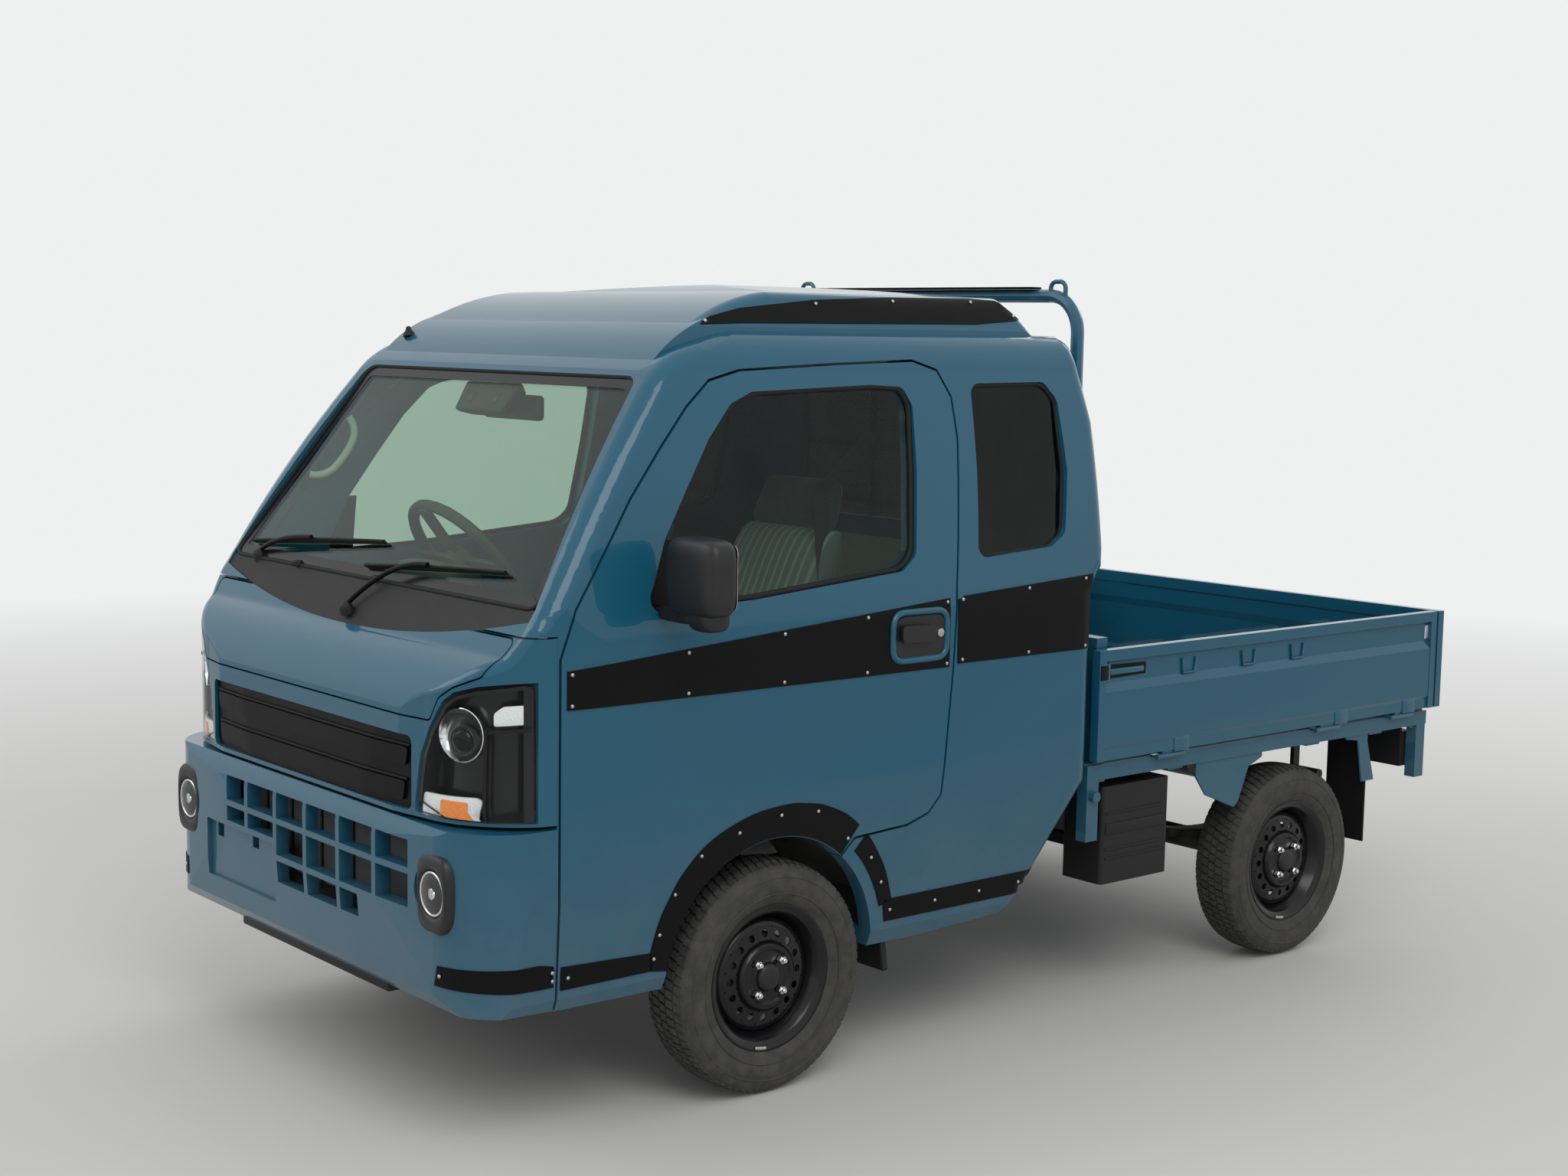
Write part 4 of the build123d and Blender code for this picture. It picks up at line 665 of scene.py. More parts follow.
ARCH_CENTRE, ARCH_LIP, ARCH_ROWS = (-0.006, 0.299), 0.3062, 4
ARCH_WIDTHS = [(16.0, 0.376), (33.0, 0.383), (46.7, 0.388), (57.4, 0.391), (68.2, 0.388),
               (80.0, 0.382), (93.5, 0.376), (108.9, 0.374), (122.9, 0.376), (135.0, 0.373),
               (148.0, 0.366), (165.0, 0.360), (173.0, 0.350)]


def arch_reach(angle):
    """How far from the arch's centre its trim reaches, at an angle above the rear horizontal."""
    for (low, near), (high, far) in zip(ARCH_WIDTHS, ARCH_WIDTHS[1:]):
        if angle <= high:
            share = (angle - low) / (high - low)
            share = share * share * (3 - 2 * share)
            return near + (far - near) * share
    return ARCH_WIDTHS[-1][1]


def arch_band(name, side, start, end, inner, panel, body, steps=64):
    """The part of an arch trim between two angles, as a grid cast onto a panel."""
    shape = bmesh.new()
    grid = []
    for step in range(steps + 1):
        angle = start + (end - start) * step / steps
        line = []
        for row in range(ARCH_ROWS + 1):
            radius = inner + (arch_reach(angle) - inner) * row / ARCH_ROWS
            a = ARCH_CENTRE[0] + radius * cos(radians(angle))
            b = ARCH_CENTRE[1] + radius * sin(radians(angle))
            line.append(shape.verts.new(land(side, y_of(a), b, panel, HAIR)[0]))
        grid.append(line)
    join(shape, grid, around=False)
    piece = mesh_piece(name, shape, satin, body)
    return thicken(face_outwards(piece, Vector((SIDES[side], 0, 0))), TRIM)


FRONT_STRIP = [(-0.588, 0.351), (-0.588, 0.402), (-0.352, 0.392), (-0.349, 0.351)]
SILL_TRIM = [(0.328, 0.405), (0.860, 0.405), (0.806, 0.351), (0.336, 0.351)]
DOOR_STRIPE = [(-0.581, 0.950), (0.514, 0.950), (0.514, 1.115), (-0.581, 1.032)]
QUARTER_STRIPE = [(0.543, 0.955), (1.021, 0.955), (1.018, 1.144), (0.541, 1.116)]
ROOF_TRIM = [(-0.131, 1.752), (-0.105, 1.768), (-0.004, 1.790), (0.228, 1.813), (0.475, 1.823),
             (0.738, 1.826), (0.834, 1.822), (0.900, 1.776), (0.738, 1.764), (0.000, 1.757)]


def on_truck(outline):
    """An outline measured from the front axle, in the truck's frame."""
    return [(y_of(a), b) for a, b in outline]


for side in SIDES:
    door = f"door_{side}"
    arch_band(f"arch_trim_{side}", side, 51.0, 171.5, ARCH_LIP, door, door)
    arch_band(f"arch_trim_rear_{side}", side, 16.0, 45.5, 0.336, "cab_sides", "root", steps=20)
    for name, outline, panel, body in (
            ("front_strip", FRONT_STRIP, door, door), ("sill_trim", SILL_TRIM, "cab_sides", "root"),
            ("door_stripe", DOOR_STRIPE, door, door), ("quarter_stripe", QUARTER_STRIPE, "cab_sides", "root"),
            ("roof_trim", rounded(ROOF_TRIM, 0.012, 3), "roof_panel", "root")):
        patch(f"{name}_{side}", side, on_truck(outline), panel, TRIM, satin, body)
print("side trims", len(made_pieces))

# %% Rivets of the side trims
DOOR_RIVETS = [(-0.570, 0.376), (-0.345, 0.378), (-0.332, 0.430), (-0.294, 0.515), (-0.225, 0.592),
               (-0.120, 0.630), (0.000, 0.655), (0.110, 0.650), (0.205, 0.573)]
QUARTER_RIVETS = [(0.282, 0.516), (0.318, 0.451), (0.352, 0.378), (0.500, 0.378), (0.650, 0.378),
                  (0.788, 0.380)]
ROOF_RIVETS = [(-0.112, 1.760), (0.228, 1.804), (0.475, 1.814), (0.738, 1.817), (0.875, 1.785)]
for place in (-0.57, -0.27, 0.0, 0.25, 0.505):
    DOOR_RIVETS += [(place, 0.959), (place, 1.024 + (place + 0.581) * 0.0758)]
for place in (0.557, 0.785, 0.990):
    QUARTER_RIVETS += [(place, 0.964), (place, 1.108 + (place - 0.541) * 0.0587)]
for side in SIDES:
    door = f"door_{side}"
    rivets(f"door_rivets_{side}", side, on_truck(DOOR_RIVETS), door, door)
    rivets(f"quarter_rivets_{side}", side, on_truck(QUARTER_RIVETS), "cab_sides")
    rivets(f"roof_rivets_{side}", side, on_truck(ROOF_RIVETS), "roof_panel")
print("rivets on a side", len(DOOR_RIVETS) + len(QUARTER_RIVETS) + len(ROOF_RIVETS))

# %% [markdown]
# ## The bumper's corners
# A trim that wraps a corner can't be drawn on a front or a side view. It is drawn on a view that looks
# diagonally at the corner, so the rays meet both faces well.

# %% Corner trims and the strip under the bumper
HALF_TURN = cos(pi / 4)


def corner_ray(across, inwards):
    """Where the rays of a diagonal view start."""
    return lambda a, b: across * a - inwards * 3.0 + Vector((0, 0, b))


for side, sign in SIDES.items():
    across = Vector((sign * HALF_TURN, HALF_TURN, 0))
    inwards = Vector((-sign * HALF_TURN, HALF_TURN, 0))
    VIEWS[f"corner_{side}"] = (inwards, corner_ray(across, inwards))
CORNER_TRIM = [(-0.775, 0.372), (-0.768, 0.415), (-0.560, 0.415), (-0.527, 0.405), (-0.527, 0.362),
               (-0.560, 0.362)]
for side in SIDES:
    view = f"corner_{side}"
    patch(f"bumper_trim_{side}", view, CORNER_TRIM, "front_bumper", TRIM, satin, pitch=0.012)
    rivets(f"bumper_rivets_{side}", view, [(-0.762, 0.394), (-0.538, 0.376), (-0.538, 0.394)],
           "front_bumper")

blocks("skirt_strip", [((-0.350, -1.660, 0.292), (0.350, -1.615, 0.326))], moulded, 0.006)
print("corner trims ready")

# %% [markdown]
# ## Seals round the glass
# Rubber profiles follow each pane's outline. A thin round bar cast onto the pane reads as the lip of
# the seal. The windscreen also has a wide black printed border, a flat band just above the glass.

# %% Outlines of the panes
SCREEN_FOOT = Vector((0.0, -1.504893, 1.160425))
SCREEN_UP = Vector((0.0, 0.343260, 0.490345)).normalized()
SCREEN_OUT = Vector((0.0, -SCREEN_UP.z, SCREEN_UP.y))
SCREEN_OUTLINE = [(-0.690, 0.0), (0.690, 0.0), (0.584, 0.5825), (-0.584, 0.5825)]


def on_screen(a, b, lift=0.0):
    """A point of the windscreen's own plane: across, up the slope, and off the glass."""
    return SCREEN_FOOT + Vector((a, 0, 0)) + SCREEN_UP * b + SCREEN_OUT * lift


def screen_shift(a, b, lift):
    """That point, dropped onto the curved glass."""
    start = on_screen(a, b, 0.5)
    place = (tree_of("windscreen").ray_cast(start, -SCREEN_OUT)[0]
             or tree_of("windscreen").find_nearest(on_screen(a, b))[0])
    return place + SCREEN_OUT * lift


def inset(outline, amount):
    """An outline drawn inwards from its middle line, for a band of even width."""
    corners = [Vector(point) for point in outline]
    drawn = []
    for before, corner, after in zip(corners[-1:] + corners, corners, corners[1:] + corners[:1]):
        into, out = (corner - before).normalized(), (after - corner).normalized()
        normal = Vector((-(into.y + out.y), into.x + out.x)).normalized()
        drawn.append(corner + normal * (amount / max(normal.dot(Vector((-out.y, out.x))), 0.3)))
    return drawn


def band(name, outer, inner, placing, depth, finish):
    """A closed ribbon between two outlines, each point placed by a function."""
    shape = bmesh.new()
    join(shape, [[shape.verts.new(placing(*point)) for point in line] for line in (outer, inner)])
    return thicken(mesh_piece(name, shape, finish), depth, 0.0)


def spread(outline, gap=0.03):
    """More points along a closed outline, so that it can follow a curved panel."""
    line = []
    for start, end in zip(outline, outline[1:] + outline[:1]):
        start, end = Vector(start), Vector(end)
        count = max(1, int((end - start).length / gap))
        line += [start.lerp(end, step / count) for step in range(count)]
    return line


screen_line = spread(rounded(SCREEN_OUTLINE, 0.040))
border_inner = inset(screen_line, 0.030)
band("screen_border", screen_line, border_inner, lambda a, b: screen_shift(a, b, 0.0008), 0.0008,
     gloss_black)
tube("screen_seal", [screen_shift(a, b, 0.001) for a, b in screen_line], 0.0055, seal, closed=True)

DOOR_WINDOW = [(-1.2551, 1.1377), (-1.1921, 1.2948), (-1.1254, 1.396), (-1.0491, 1.5042),
               (-0.9767, 1.5792), (-0.9118, 1.6054), (-0.5533, 1.6194), (-0.4541, 1.6141),
               (-0.4293, 1.5705), (-0.4389, 1.4187), (-0.4618, 1.2215), (-0.5056, 1.1866),
               (-0.9538, 1.15)]
QUARTER_WINDOW = [(-0.2577, 1.2023), (-0.2406, 1.4135), (-0.2291, 1.6211), (0.0283, 1.6246),
                  (0.0684, 1.5792), (0.076, 1.4047), (0.0512, 1.2494), (-0.0003, 1.2198)]
for side in SIDES:
    pane = f"door_glass_{side}"
    line = spread(inset(rounded(DOOR_WINDOW, 0.030), -0.004))
    tube(f"door_seal_{side}", cast_line(side, line, pane, 0.0015), 0.0075, seal,
         f"door_{side}", closed=True)
    corner = [(-1.243, 1.144), (-1.187, 1.290), (-1.150, 1.290), (-1.150, 1.152)]
    patch(f"mirror_corner_{side}", side, corner, pane, 0.004, satin, f"door_{side}")
    quarter = spread(inset(rounded(QUARTER_WINDOW, 0.030), 0.004))
    tube(f"quarter_seal_{side}", cast_line(side, quarter, "quarter_windows", 0.001),
         0.0065, seal, closed=True)
print("seals ready")

# %% [markdown]
# ## Cowl, nozzles and wipers
# Below the windscreen sits a dull black cowl with two washer nozzles. Each wiper is an arm, a holder
# and a thin blade that lies on the glass, so all three are made from points of the glass itself.

# %% Wipers and nozzles


def on_cowl(a, b, lift=0.0):
    """A point on the cowl or the glass, found straight down from above."""
    return land("top", a, b, ["cowl_panel", "windscreen", "hood_lid", "front_panel"], lift)[0]


nozzles = bmesh.new()
for a, b in ((0.030, -1.575), (-0.350, -1.560)):
    place, normal = land("top", a, b, "cowl_panel", 0.002)
    add_block(nozzles, place + Vector((-0.011, -0.013, -0.003)), place + Vector((0.011, 0.011, 0.010)),
              Matrix.Rotation(pi / 4, 3, "Z"), place)
soften(mesh_piece("washer_nozzles", nozzles, moulded), 0.003)

BLADE_STEPS = 16
WIPERS = {
    "right": ((-0.560, -1.500), (-0.470, 0.055), (-0.62, 0.040), (-0.02, 0.095)),
    "left": ((-0.010, -1.548), (0.100, 0.045), (-0.04, 0.028), (0.52, 0.070)),
}
for name, (pivot, elbow, start, end) in WIPERS.items():
    foot = on_cowl(*pivot, 0.008)
    lathe(f"wiper_pivot_{name}", foot - Vector((0, 0, 0.010)), (0, -0.4, 1),
          [(0.0, 0.017), (0.018, 0.016), (0.026, 0.011), (0.028, 0.004)], moulded)
    line = [Vector(start).lerp(Vector(end), t / BLADE_STEPS) for t in range(BLADE_STEPS + 1)]
    hold = screen_shift(*line[BLADE_STEPS // 2], 0.026)
    knee = screen_shift(*elbow, 0.034)
    tube(f"wiper_arm_{name}", [foot + Vector((0, 0, 0.014)), knee, hold], 0.0062, satin, kind="NURBS")
    tube(f"wiper_holder_{name}", [screen_shift(*point, 0.010 + 0.008 * sin(pi * t / BLADE_STEPS))
                                  for t, point in enumerate(line)], 0.0042, satin)
    edge = bmesh.new()
    join(edge, [[edge.verts.new(screen_shift(*point, lift)) for lift in (0.0008, 0.011)]
                for point in line], around=False)
    thicken(mesh_piece(f"wiper_blade_{name}", edge, seal), 0.005, 0.0)
print("wipers ready")

# %% [markdown]
# ## Headlamps
# The CAD lamp is a solid that fills its hole. Worn as clear glass it becomes the outer lens, and the
# parts that it shows stand inside it: a black housing, a bright bowl round a projector, a turn lamp
# behind pearl and amber plastic, and a small side lamp at the outer top corner.

# %% Inside the headlamps


def corner_of(side, x=None, y=None, z=0.0):
    """The diagonal view's coordinates of a point on a lamp, given across or along the truck."""
    sign = SIDES[side]
    view, shift = (side, y) if x is None else ("front", sign * x)
    place, _ = land(view, shift, z, ["headlamps", "front_panel", "front_bumper"])
    return ((sign * place.x + place.y) * HALF_TURN, z)


LAMP_X = [(0.478, 0.712), (0.500, 0.842), (0.531, 0.906), (0.568, 0.960), (0.596, 0.980),
          (0.644, 0.995), (0.690, 1.003)]
LAMP_Y = [(-1.517, 1.008), (-1.515, 0.712)]
LAMP_FROM, LAMP_TO, LAMP_DEPTH = -0.840, -0.555, 0.055
BOWL = [(0.000, 0.030), (0.020, 0.052), (0.035, 0.0575), (0.036, 0.056), (0.030, 0.053), (0.020, 0.047),
        (0.010, 0.037), (0.004, 0.024)]
PROJECTOR = [(0.006, 0.033), (0.024, 0.033), (0.027, 0.030), (0.026, 0.026)]
PROJECTOR_EYE = [(0.000, 0.026), (0.004, 0.0245), (0.008, 0.019), (0.010, 0.011), (0.0105, 0.003)]
TURN_LAMP = [(0.489, 0.716), (0.640, 0.712), (0.652, 0.762), (0.640, 0.768), (0.496, 0.764)]
TURN_AMBER = [(0.552, 0.718), (0.620, 0.717), (0.622, 0.757), (0.554, 0.757)]
SIDE_LAMP = [(-0.651, 0.921), (-0.576, 0.926), (-0.576, 0.966), (-0.630, 0.963), (-0.651, 0.948)]
SIDE_AMBER = [(-0.646, 0.925), (-0.622, 0.927), (-0.622, 0.954), (-0.646, 0.944)]
SHELF = [(-0.660, 0.907), (-0.572, 0.912), (-0.572, 0.920), (-0.660, 0.915)]
STRAKE = [(-0.672, 0.716), (-0.664, 0.716), (-0.660, 0.915), (-0.668, 0.915)]


def in_lamp(side, a, b, depth):
    """A point behind the lens. Its way back turns from straight back to straight across."""
    share = min(max((a - LAMP_FROM) / (LAMP_TO - LAMP_FROM), 0), 1)
    front, _ = land(f"corner_{side}", a, b, "headlamps")
    return front + Vector((-SIDES[side] * share, 1 - share, 0)) * depth


def lamp_patch(name, side, corners, depth, thick, finish):
    """A flat part of the lamp at a depth behind the lens."""
    patch(f"{name}_{side}", f"corner_{side}", corners, "headlamps", thick, finish,
          placing=lambda a, b: in_lamp(side, a, b, depth))


def lamp_band(name, side, outer, inner):
    """A closed ribbon in the lamp. Its points are a place on the lens and a depth behind it."""
    band(f"{name}_{side}", outer, inner, lambda a, b, depth: in_lamp(side, a, b, depth), 0.002, gloss_black)


for side, sign in SIDES.items():
    rim = spread([corner_of(side, x=x, z=z) for x, z in LAMP_X]
                 + [corner_of(side, y=y, z=z) for y, z in LAMP_Y])
    wall, lip_outer, lip_inner = (inset(rim, amount) for amount in (-0.004, -0.001, -0.008))
    lamp_patch("lamp_housing", side, wall, LAMP_DEPTH, 0.002, gloss_black)
    lamp_band("lamp_wall", side, [(a, b, 0.006) for a, b in wall], [(a, b, LAMP_DEPTH) for a, b in wall])
    lamp_band("lamp_edge", side, [(a, b, 0.005) for a, b in lip_outer],
              [(a, b, 0.005) for a, b in lip_inner])
    bowl_a, bowl_b = corner_of(side, x=0.585, z=0.897)
    middle = in_lamp(side, bowl_a, bowl_b, 0.0) + Vector((0, 0.050, 0))
    aim = Vector((sign * 0.40, -1.0, 0.0)).normalized()
    lathe(f"lamp_bowl_{side}", middle, aim, BOWL, bowl)
    eye = middle + Vector((-sign * 0.006, 0, -0.014))
    lathe(f"lamp_projector_{side}", eye, aim, PROJECTOR, gloss_black)
    lathe(f"lamp_eye_{side}", eye + aim * 0.025, aim, PROJECTOR_EYE, dark_glass)
    low_lamp, low_amber = ([corner_of(side, x=x, z=z) for x, z in part] for part in (TURN_LAMP, TURN_AMBER))
    lamp_patch("turn_lamp", side, rounded(low_lamp, 0.008), 0.016, 0.006, pearl)
    lamp_patch("turn_amber", side, rounded(low_amber, 0.006), 0.010, 0.003, amber)
    lamp_patch("side_lamp", side, rounded(SIDE_LAMP, 0.006), 0.012, 0.006, pearl)
    lamp_patch("side_amber", side, rounded(SIDE_AMBER, 0.004), 0.008, 0.002, amber)
    lamp_patch("lamp_shelf", side, SHELF, 0.010, 0.020, gloss_black)
    lamp_patch("lamp_strake", side, STRAKE, 0.024, 0.020, gloss_black)
print("headlamps ready")

# %% [markdown]
# ## Fog lamps
# Each fog lamp is a bright fluted dish behind a clear dome, in a chrome ring, on a black bezel with
# straight sides and round ends.

# %% Fog lamps
BEZEL_STEPS, RING_STEPS, RING_RADIUS = 64, 40, 0.0455
STRAIGHT, ROUND = (0.5, 0.62), (1.0, 1.0)
BEZEL = [(-0.012, 0.060, 0.084, STRAIGHT), (0.004, 0.060, 0.084, STRAIGHT), (0.011, 0.055, 0.079, STRAIGHT),
         (0.012, 0.050, 0.058, ROUND), (0.006, 0.047, 0.049, ROUND), (-0.012, 0.047, 0.049, ROUND)]
FOG_CUP = [(0.000, 0.050), (0.014, 0.051), (0.018, 0.049), (0.018, 0.045)]
FOG_DISH = [(0.000, 0.044), (0.003, 0.043), (0.001, 0.030), (-0.001, 0.014), (0.006, 0.012), (0.008, 0.004)]
FOG_LENS = [(0.000, 0.0445), (0.004, 0.041), (0.008, 0.030), (0.010, 0.012), (0.0105, 0.002)]


def bent(value, power):
    """A power that keeps the sign: under 1 it squares a circle's corners."""
    return copysign(abs(value) ** power, value)


for side, sign in SIDES.items():
    centre_a, centre_b = corner_of(side, x=0.575, z=0.565)
    middle, out = land(f"corner_{side}", centre_a, centre_b, ["fog_lamps", "front_bumper"])
    aim = (out + Vector((0, -1, 0))).normalized()
    across = aim.cross(Vector((0, 0, 1))).normalized()
    upright = across.cross(aim).normalized()
    bezel = bmesh.new()
    rings = []
    for height, wide, tall, (power_a, power_b) in BEZEL:
        ring = []
        for step in range(BEZEL_STEPS):
            turn = tau * step / BEZEL_STEPS
            a, b = wide * bent(cos(turn), power_a), tall * bent(sin(turn), power_b)
            ring.append(bezel.verts.new(middle + aim * height + across * a + upright * b))
        rings.append(ring)
    join(bezel, rings)
    mesh_piece(f"fog_bezel_{side}", bezel, mirror_shell)
    lathe(f"fog_cup_{side}", middle - aim * 0.010, aim, FOG_CUP, gloss_black)
    lathe(f"fog_dish_{side}", middle + aim * 0.0035, aim, FOG_DISH, fluted)
    ring = []
    for step in range(RING_STEPS):
        turn = tau * step / RING_STEPS
        spoke = across * cos(turn) + Vector((0, 0, 1)) * sin(turn)
        ring.append(middle + aim * 0.006 + spoke * RING_RADIUS)
    tube(f"fog_ring_{side}", ring, 0.0035, bright, closed=True)
    lathe(f"fog_lens_{side}", middle + aim * 0.0055, aim, FOG_LENS, lens_glass)
print("fog lamps ready")

# %% [markdown]
# ## Grille and bumper openings
# The grille plate has two wide pressed bands that stand out of it, and behind the bumper's openings run
# black slats, seen against a dark baffle that is painted shade: a black sheet where the openings fall into
# shade.

# %% Grille bands, painted-shade baffle and slats
for number, (low, high, half) in enumerate(((0.735, 0.778, 0.430), (0.812, 0.852, 0.440))):
    outline = [(-half, low), (half, low), (half + 0.008, high), (-half - 0.008, high)]
    press = patch(f"grille_band_{number}", "front", spread(rounded(outline, 0.012)), "grille_insert",
                  0.006, satin)
    soften(press, 0.003, 3)
    lip = [(-half - 0.012, high + 0.004), (half + 0.012, high + 0.004)]
    tube(f"grille_lip_{number}", cast_line("front", along(lip, 40), "grille_insert", 0.001), 0.004,
         satin)
# The baffle is painted shade: a black sheet that stands for the shade deep behind the openings.
blocks("bumper_painted_shade", [((-0.400, -1.552, 0.430), (0.530, -1.546, 0.690))], moulded, 0.002)
slats = bmesh.new()
for height in (0.465, 0.492, 0.535, 0.562, 0.615, 0.645):
    add_block(slats, (-0.380, -1.612, height - 0.0035), (0.520, -1.556, height + 0.0035),
              Matrix.Rotation(radians(-14), 3, "X"))
for across in (-0.300, -0.175, -0.030, 0.118, 0.275, 0.420):
    add_block(slats, (across - 0.004, -1.618, 0.440), (across + 0.004, -1.560, 0.680))
soften(mesh_piece("bumper_slats", slats, moulded), 0.0015)
print("front ready", len(made_pieces))

# %% [markdown]
# ## Mirrors, door handles and the aerial
# A door mirror is a moulded shell with round edges on a short arm. Three boxes pulled onto smooth forms
# stand for the CAD mirror, and its back carries a pane of mirror glass. Each door handle is a black
# lever in a shallow cup, inside a rounded ring in body colour.

# %% Rounded boxes: cube grids pulled onto smooth closed forms


def smooth_boxes(name, boxes, finish, body):
    """Boxes with generous round edges, each a centre, half sizes, a power and its cuts, as one piece."""
    shape = bmesh.new()
    for centre, half, power, cuts in boxes:
        start = len(shape.verts)
        for axis in range(3):
            for end in (-1.0, 1.0):
                grid = []
                for i in range(cuts + 1):
                    row = []
                    for j in range(cuts + 1):
                        flat = [2 * i / cuts - 1, 2 * j / cuts - 1]
                        flat.insert(axis, end)
                        length = sum(abs(value) ** power for value in flat) ** (1 / power)
                        place = [centre[k] + half[k] * flat[k] / length for k in range(3)]
                        row.append(shape.verts.new(place))
                    grid.append(row)
                join(shape, grid, around=False)
        shape.verts.ensure_lookup_table()
        bmesh.ops.remove_doubles(shape, verts=shape.verts[start:], dist=0.0001)
    return mesh_piece(name, shape, finish, body)


print("rounded boxes ready")

# %% Mirror shells, mirror glass, handles and aerial
for side, sign in SIDES.items():
    door, shell = f"door_{side}", f"mirror_{side}"
    low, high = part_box(shell)
    housing = smooth_boxes(f"mirror_shell_{side}", [
        ((sign * 0.862, -1.2065, 1.228), (0.0870, 0.0375, 0.0830), 5.0, 14),
        ((sign * 0.884, -1.2025, 1.148), (0.0440, 0.0330, 0.0340), 3.5, 8),
        ((sign * 0.790, -1.2030, 1.142), (0.0620, 0.0240, 0.0180), 4.0, 8)], mirror_shell, door)
    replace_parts(housing, shell)
    near = min(abs(low[0]), abs(high[0])) + 0.110
    far = max(abs(low[0]), abs(high[0])) - 0.016
    pane = [(sign * near, 1.160), (sign * far, 1.160), (sign * far, 1.298), (sign * near, 1.298)]
    patch(f"mirror_glass_{side}", "back", rounded(pane, 0.020), shell, 0.001, mirror_glass, door,
          lift=0.0008)
    cup = on_truck(rounded([(0.336, 0.984), (0.494, 0.984), (0.494, 1.080), (0.336, 1.080)], 0.030))
    patch(f"handle_cup_{side}", side, cup, door, 0.0010, mirror_shell, door, lift=TRIM + 0.0005)
    edge = on_truck(rounded([(0.328, 0.976), (0.502, 0.976), (0.502, 1.090), (0.328, 1.090)], 0.034))
    ring = cast_line(side, spread(edge, 0.02), door, 0.002)
    tube(f"handle_ring_{side}", ring, 0.0085, paint, door, closed=True)
    lever = on_truck(rounded([(0.345, 1.022), (0.452, 1.018), (0.452, 1.058), (0.345, 1.062)], 0.014))
    soften(patch(f"handle_lever_{side}", side, lever, door, 0.009, mirror_shell, door, lift=0.011), 0.003, 3)
    lathe(f"handle_lock_{side}", land(side, y_of(0.478), 1.036, door, 0.003)[0], (sign, 0, 0),
          [(0.0, 0.010), (0.006, 0.010), (0.007, 0.008)], zinc, door)
aerial_foot = land("top", -0.535, -1.085, "roof_panel")[0]
lathe("aerial_base", aerial_foot - Vector((0, 0, 0.002)), (-0.2, 0, 1),
      [(0.0, 0.016), (0.007, 0.015), (0.015, 0.009), (0.024, 0.006), (0.026, 0.003)], moulded)
print("door furniture ready")

# %% [markdown]
# ## The cabin
# Seen through the glass: a pale lining, a sensor pod and the inner mirror behind the windscreen, two
# sun visors, a pale grab handle on the right pillar, and the dashboard's vents and dial hood.

# %% Linings, pod, mirror, handle, visors and dash parts
cabin_top = [(-0.540, -1.080), (0.540, -1.080), (0.560, -0.700), (0.560, 0.040), (-0.560, 0.040),
             (-0.560, -0.700)]
patch("headliner", "top", cabin_top, "roof_panel", 0.004, pale, lift=-0.030, pitch=0.05)
rear_lining = [(-0.560, 1.000), (0.560, 1.000), (0.560, 1.165), (-0.560, 1.165)]
patch("rear_lining", "front", rear_lining, "cab_rear_wall", 0.003, pale, lift=0.008, pitch=0.05)

pod = bmesh.new()
lower, upper = [[pod.verts.new(on_screen(a, b, lift)) for a, b in corners] for lift, corners in (
    (-0.018, ((-0.105, 0.475), (0.105, 0.475), (0.125, 0.565), (-0.125, 0.565))),
    (-0.062, ((-0.075, 0.490), (0.075, 0.490), (0.095, 0.560), (-0.095, 0.560))))]
pod.faces.new(lower)
pod.faces.new(upper[::-1])
join(pod, [lower, upper])
soften(mesh_piece("sensor_pod", pod, moulded), 0.010, 3)
eyes = bmesh.new()
for across in (-0.055, 0.055):
    add_dome(eyes, on_screen(across, 0.515, -0.020), SCREEN_OUT, 0.016, 0.008)
mesh_piece("sensor_eyes", eyes, gloss_black)
blocks("inner_mirror", [((-0.120, -1.125, 1.520), (0.120, -1.100, 1.580))], mirror_shell, 0.011, segments=4)
tube("inner_mirror_stem", [Vector((0, -1.112, 1.575)), Vector((0, -1.135, 1.600)),
                           on_screen(0, 0.520, -0.040)], 0.008, moulded)
grab = [on_screen(a, b, -0.020 - depth) for a, b, depth in
        ((-0.598, 0.440, 0.012), (-0.585, 0.425, 0.045), (-0.585, 0.350, 0.055),
         (-0.600, 0.275, 0.045), (-0.618, 0.262, 0.012))]
tube("grab_handle", grab, 0.010, pale, kind="NURBS")
blocks("sun_visors", [((across - 0.200, -1.090, 1.640), (across + 0.200, -0.930, 1.652))
                      for across in (-0.330, 0.330)], pale, 0.006, segments=3)

_, dash_back, dash_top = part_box("dashboard")[1]
blocks("dial_hood", [((-0.480, -1.175, dash_top - 0.020), (-0.180, -1.075, dash_top + 0.055))], dash_grey,
       0.030, segments=4)
blocks("dash_vents", [((across - 0.055, dash_back - 0.002, 0.965 + row * 0.013),
                       (across + 0.055, dash_back + 0.006, 0.971 + row * 0.013))
                      for across in (-0.560, -0.090, 0.090, 0.560) for row in range(5)], moulded, 0.0015)
print("cabin ready, dashboard top at", dash_top)

# %% [markdown]
# ## Seats
# Each seat has a cushion and a back in grey striped cloth, a darker head rest, and a flat belt.
# Each pad is a grid swollen along its normals: full in the middle, pulled in at its edges and seams.

# %% Padded seats
SEAT_X, TUCK, SEAM_WIDTH = 0.335, 0.010, 0.035


